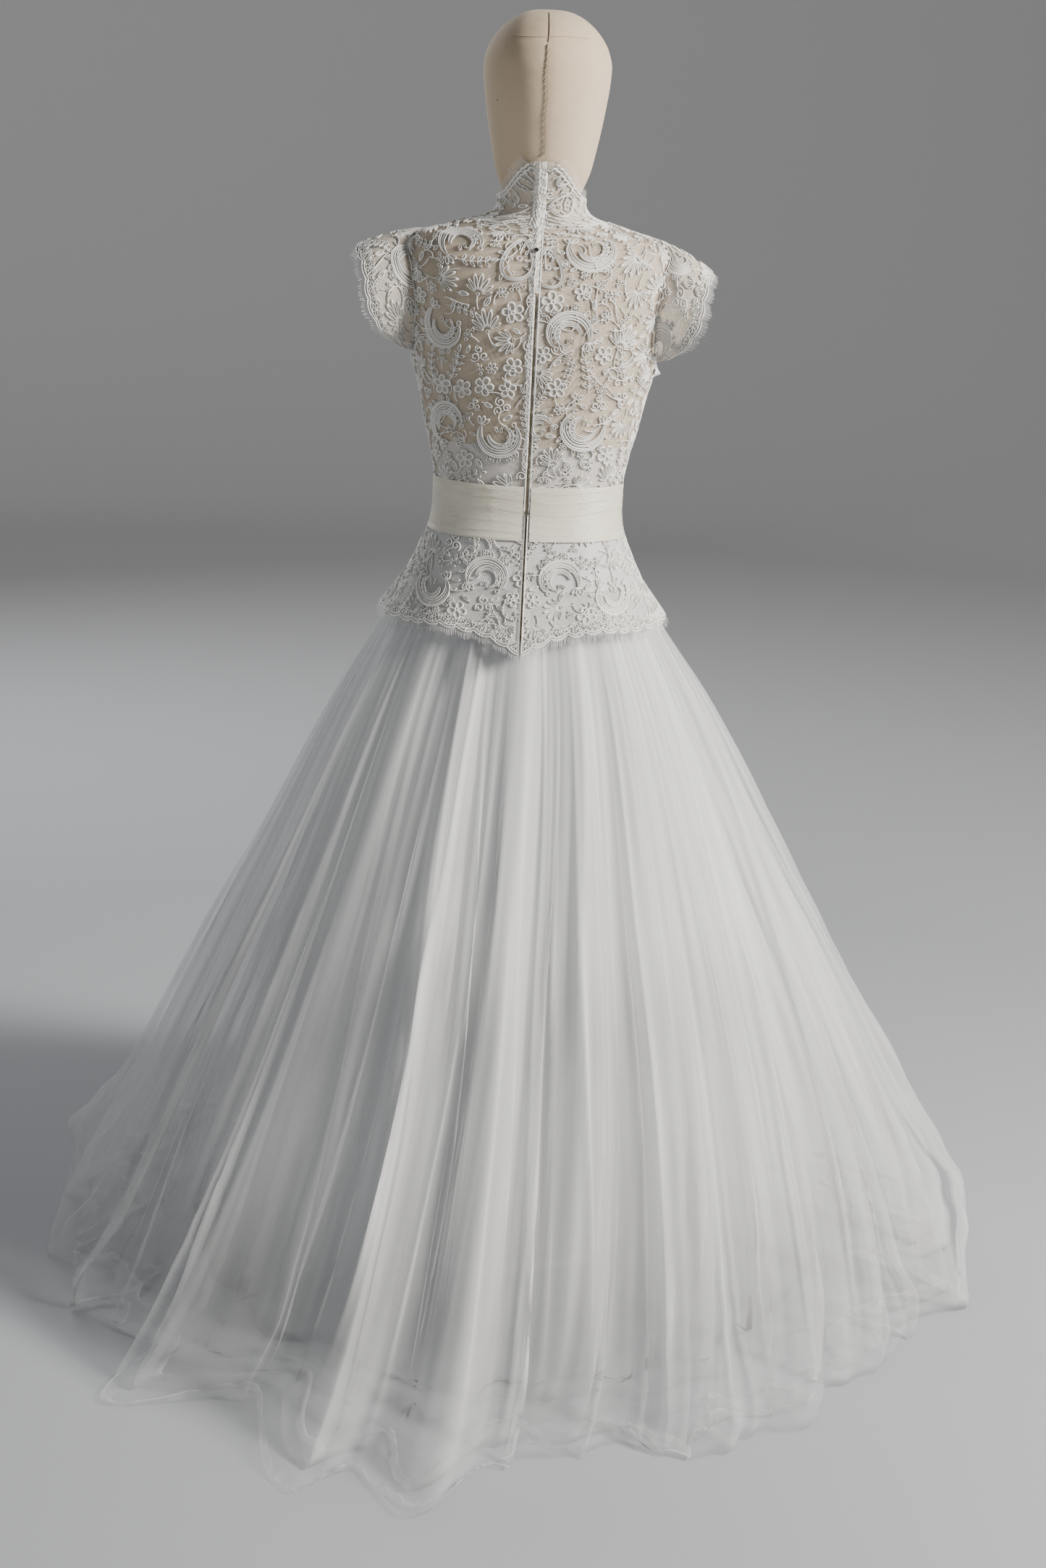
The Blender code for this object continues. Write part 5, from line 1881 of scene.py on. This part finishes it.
    def zip(self) -> None:
        """Makes the zip's tape and teeth."""
        low, high = float(DRESS.rise(ZIP_BOTTOM)), float(DRESS.rise(ZIP_TOP))
        mesh = unit_grid(8, 160, "zip")
        share = coordinates(mesh)
        flat = rows((share[:, 0] - 0.5) * 0.022, low + (high - low) * share[:, 1],
                         np.full(len(share), 0.0007 - NET_OUT + SATIN_OUT))
        move_to(mesh, self.back.place(flat))
        tape = self.room.add("zip_tape", mesh, Finish.TAPE, "tape", ["zip"])
        strip = Flatwork()
        tooth = band(np.array([(-0.0013, 0.0), (0.0, 0.0001), (0.0013, 0.0)]), 0.0005)
        for index in range(int((high - low) / self.tooth)):
            strip.put(tooth, (0.0003 * (-1) ** index, low + self.tooth * index), 9.0)
        teeth = strip.mesh("zip_teeth")
        flat = coordinates(teeth)
        flat[:, 2] += 0.0008 - NET_OUT + SATIN_OUT
        move_to(teeth, self.back.place(flat))
        self.room.add("zip_teeth", teeth, Finish.TEETH, "tape")

    def corded(self, name: str, mesh: Mesh, points: Array, raised: Array,
               nodes: Sequence[str] = ()) -> bpy.types.Object:
        """Puts a narrow strip of lace on the model.

        Args:
            name: Its piece's name.
            mesh: Its grid.
            points: Where the grid's points go.
            raised: How far its cords stand up at each, from 0 to 1.
            nodes: The CAD nodes that it replaces.

        Returns:
            The piece.
        """
        add_attribute(mesh, "raised", raised)
        move_to(mesh, points)
        return self.room.add(name, mesh, Finish.CORD, "lace", nodes)

    def zip_fold(self) -> None:
        """Makes the white fold beside the zip."""
        low, high = float(DRESS.rise(FOLD_BOTTOM)), float(DRESS.rise(ZIP_TOP))
        mesh = unit_grid(18, 400, "zip_fold")
        share = coordinates(mesh)
        t = low + (high - low) * share[:, 1]
        wide = 0.0066 * (1.0 + 0.20 * np.sin(41.0 * t) + 0.14 * np.sin(103.0 * t))
        raised = self.lacy(wide * share[:, 0], t)
        lift = 0.0010 + 0.0005 * np.sin(np.pi * share[:, 0]) + 0.0005 * raised
        flat = rows(-0.0013 - wide * (1.0 - share[:, 0]), t, lift)
        piece = self.corded("zip_fold", mesh, self.back.place(flat), raised)

    def collar_fold(self) -> None:
        """Makes the fold that carries the placket up the collar."""
        mesh = unit_grid(36, 160, "collar_fold")
        share = coordinates(mesh)
        z = 1.3500 + (1.4335 - 1.3500) * share[:, 1]
        x = -0.0078 + 0.0118 * share[:, 0]
        raised = self.lacy(x + 0.004, z)
        lift = 0.0030 + np.interp(x, (-0.0078, -0.0030, 0.0040), (0.0003, 0.0022, 0.0005)) + 0.0006 * raised
        angle = np.degrees(np.arcsin(x / smooth(COLLAR_RINGS, z, 2)))
        piece = self.corded("collar_fold", mesh, COLLAR.point(angle, z, lift), raised)

    def placket(self) -> None:
        """Makes the folded placket above the zip."""
        mesh = unit_grid(40, 160, "placket")
        share = coordinates(mesh)
        z = PLACKET_BOTTOM + (PLACKET_TOP - PLACKET_BOTTOM) * share[:, 1]
        x = -0.0092 + 0.0130 * share[:, 0]
        raised = self.lacy(x, z)
        ridge = np.interp(x, (-0.0092, -0.0030, 0.0038), (0.0003, 0.0030, 0.0006)) + 0.0006 * raised
        flat = rows(x + 0.0005 * np.sin(z * 160.0), DRESS.rise(z), ridge)
        piece = self.corded("placket_fold", mesh, self.back.place(flat), raised, ["placket"])

    def build(self) -> None:
        """Makes every piece of the bodice."""
        self.satin()
        for side in Side:
            self.back_panel(side)
        self.front_panel()
        self.zip()
        self.zip_fold()
        self.collar_fold()
        self.placket()
        self.collar()
        for side in Side:
            self.sleeve(side)
            self.peplum(side)
        self.sash()
        for side in Side:
            self.room.dress_node("armhole_binding_" + side.word, Finish.SATIN)


@dataclass
class DressForm:
    """The limbless canvas form and its stand.

    Attributes:
        room: Where its pieces are finished.
    """

    room: Workroom

    def head(self) -> None:
        """Makes the egg-shaped head."""
        bm = bmesh.new()
        bmesh.ops.create_uvsphere(bm, u_segments=96, v_segments=72, radius=1.0)
        mesh = mesh_from(bm, "head")
        ball = coordinates(mesh)
        angle = np.degrees(np.arctan2(ball[:, 0], -ball[:, 1]))
        low, high = HEAD_RINGS[0][0], HEAD_RINGS[-1][0]
        z = low + (high - low) * (0.5 + 0.5 * ball[:, 2])
        seam = -0.0007 * np.exp(-(angle / 1.6) ** 2) * ease((HEAD_SEAM_TOP - z) / 0.01)
        points = HEAD.at(angle, z)
        points[:, :2] *= (1.0 + seam / 0.08)[:, None]
        move_to(mesh, points)
        self.room.add("head", mesh, Finish.CANVAS, "canvas", ("form_head",))

    def stitching(self) -> None:
        """Sews the seam down the back of the head, twisted below, and the stitches across it."""
        surface = body_surface(HEAD, 0.0001, 1.400, 1.6085)
        work = Flatwork()
        top = np.linspace(float(HEAD.rise(WHIPPING_TOP)), float(HEAD.rise(1.6080)), 24)
        work.line(rows(0.0006 * np.sin(top * 70.0), top), 0.0006, STITCH)
        self.sew("head_seam", work, surface, Finish.SEAM)
        work = Flatwork()
        low, high = float(HEAD.rise(1.440)), float(HEAD.rise(WHIPPING_TOP))
        stitch = band(np.array([(-0.0026, -0.0009), (0.0, 0.0), (0.0026, 0.0009)]), 0.0008)
        for index in range(int((high - low) / 0.0027)):
            place = (0.0007 * math.sin(index * 0.31), low + 0.0027 * index)
            work.put(stitch, place, 18.0 + 9.0 * math.sin(index * 2.1))
        self.sew("head_whipping", work, surface, Finish.WHIPPING)
        work = Flatwork()
        dash = band(np.array([(-0.0010, 0.0), (0.0, 0.0), (0.0010, 0.0)]), 0.0004, STITCH)
        line = float(HEAD.rise(1.579))
        for index in range(36):
            s = -0.050 + 0.0030 * index
            work.put(dash, (s, line + 0.0012 * math.sin(s * 60.0)), 6.0 * math.sin(index * 1.7))
        self.sew("head_stitches", work, surface, Finish.SEAM)

    def sew(self, name: str, work: Flatwork, surface: Surface, finish: Finish) -> None:
        """Lays stitches on the head.

        Args:
            name: Their piece's name.
            work: The flat stitches.
            surface: The head's surface.
            finish: Their thread.
        """
        mesh = work.mesh("stitches")
        move_to(mesh, surface.place(coordinates(mesh)))
        self.room.add(name, mesh, finish, "canvas")

    def torso(self) -> None:
        """Makes the smooth torso with its neck."""
        mesh = unit_grid(120, 90, "torso")
        flat = coordinates(mesh)
        low, high = TORSO_RINGS[0][0], TORSO_RINGS[-1][0]
        move_to(mesh, TORSO.at(360.0 * flat[:, 0], low + (high - low) * flat[:, 1]))
        weld(mesh)
        with edited(mesh) as bm:
            bmesh.ops.holes_fill(bm, edges=bm.edges, sides=0)
        self.room.add("torso", mesh, Finish.CANVAS, "canvas", ("form_torso",))

    def build(self) -> None:
        """Makes the form and paints its stand."""
        self.torso()
        self.head()
        self.stitching()
        self.room.dress_node("stand_foot", Finish.PAINT)
        self.room.dress_node("stand_pole", Finish.PAINT)
        self.room.dress_node("press_stud", Finish.METAL)


@dataclass
class Studio:
    """Pale wall and a floor painted paler away from the dress as painted light, soft light from the right,
    and the camera.

    Attributes:
        focal_px: Focal length in pixels of the 1445 by 2167 frame.
        frame_px: The frame's long side.
        place: Where the camera stands.
        pitch: Degrees that it looks down.
        roll: Degrees that it leans.
        sky: Colour of the light from all round.
        sky_strength: Its strength.
        floor: Colour of the floor round the dress.
        wall: Colour of the wall, towards which the floor is painted paler with distance as painted light.
        lamps: Soft lamps: name, place, what it lights, size, watts and colour.
    """

    focal_px: float = 3780.0
    frame_px: float = 2167.0
    place: tuple = (0.012, -3.5, 1.55)
    pitch: float = 14.8
    roll: float = 2.75
    sky: tuple = (0.87, 0.90, 0.95, 1.0)
    sky_strength: float = 0.44
    floor: tuple = (0.40, 0.41, 0.425)
    wall: tuple = (0.84, 0.85, 0.87)
    lamps: tuple = (
        ("key", (3.0, -1.3, 2.6), (0.0, 0.0, 1.0), 0.8, 330.0, (1.0, 0.975, 0.94)),
        ("fill", (-3.0, -2.6, 1.8), (0.0, 0.0, 0.8), 2.6, 30.0, (0.90, 0.95, 1.0)),
        ("back", (-1.6, 2.8, 2.6), (0.0, 0.0, 0.8), 1.6, 60.0, (0.97, 0.98, 1.0)),
    )

    def plain(self) -> Material:
        """A matte finish with painted light: the floor's colour near the dress grows paler with distance
        towards the wall's, standing in for lamp light that falls off.
        """
        nodes = Nodes("cove")
        place = nodes.add("ShaderNodeTexCoord", {}, {}, "Object")
        away = nodes.add("ShaderNodeVectorMath", {"operation": "LENGTH"}, {0: place}, "Value")
        # Painted light: the floor grows paler from 1.6 m to 6 m from the dress, standing in for lamp light
        # that falls off with distance.
        colour = nodes.mix(nodes.ramp(away, 1.6, 6.0), self.floor, self.wall)
        return nodes.dress(Base_Color=colour, Roughness=0.85)

    def cove(self) -> None:
        """Spins the floor and the wall that it curves up into."""
        turn = np.linspace(0.0, 0.5 * math.pi, 16)
        curve = [(5.5 + 3.5 * math.sin(a), 3.5 - 3.5 * math.cos(a)) for a in turn]
        bm = bmesh.new()
        line = [bm.verts.new((x, 0.0, z - 0.0004)) for x, z in [(0.02, 0.0)] + curve + [(9.0, 9.0)]]
        edges = [bm.edges.new(pair) for pair in zip(line, line[1:])]
        bmesh.ops.spin(bm, geom=line + edges, cent=(0.0, 0.0, 0.0), axis=(0.0, 0.0, 1.0),
                       angle=2.0 * math.pi, steps=96, use_merge=True)
        bmesh.ops.remove_doubles(bm, verts=bm.verts, dist=1e-5)
        bmesh.ops.holes_fill(bm, edges=bm.edges, sides=96)
        bmesh.ops.recalc_face_normals(bm, faces=bm.faces)
        bmesh.ops.reverse_faces(bm, faces=bm.faces)
        cove = bpy.data.objects.new("cove", mesh_from(bm, "cove"))
        cove.data.materials.append(self.plain())
        link(cove)

    def build(self) -> None:
        """Makes the floor, wall, lights and camera."""
        self.cove()
        for name, place, aim, size, power, colour in self.lamps:
            lamp = bpy.data.lights.new(name, "AREA")
            lamp.size, lamp.energy, lamp.color = size, power, colour
            holder = bpy.data.objects.new(name, lamp)
            holder.location = place
            holder.rotation_euler = (Vector(aim) - Vector(place)).to_track_quat("-Z", "Y").to_euler()
            link(holder)
        world = bpy.data.worlds.new("studio")
        world.use_nodes = True
        background = world.node_tree.nodes["Background"]
        background.inputs["Color"].default_value = self.sky
        background.inputs["Strength"].default_value = self.sky_strength
        bpy.context.scene.world = world
        paths = bpy.context.scene.cycles
        paths.transparent_max_bounces = 12
        paths.max_bounces = 2
        paths.diffuse_bounces = 1
        self.camera()

    def camera(self) -> None:
        """Sets the camera at the photograph's viewing angle."""
        pitch, roll = math.radians(self.pitch), math.radians(self.roll)
        ahead = Vector((0.0, math.cos(pitch), -math.sin(pitch)))
        level = Vector((1.0, 0.0, 0.0))
        above = level.cross(ahead)
        right = level * math.cos(roll) + above * math.sin(roll)
        up = above * math.cos(roll) - level * math.sin(roll)
        lens = bpy.data.cameras.new("camera")
        lens.sensor_width = 36.0
        lens.lens = self.focal_px * lens.sensor_width / self.frame_px
        holder = bpy.data.objects.new("camera", lens)
        turned = Matrix((right, up, -ahead)).transposed().to_4x4()
        holder.matrix_world = Matrix.Translation(self.place) @ turned
        link(holder)
        bpy.context.scene.camera = holder


def main() -> None:
    """Builds the dress, its form and the studio in order."""
    logging.basicConfig(level=logging.INFO, format="%(relativeCreated)d %(name)s %(message)s")
    room = Workroom()
    DressForm(room).build()
    Skirt(room).build()
    Bodice(room).build()
    Studio().build()


if __name__ == "__main__":
    main()
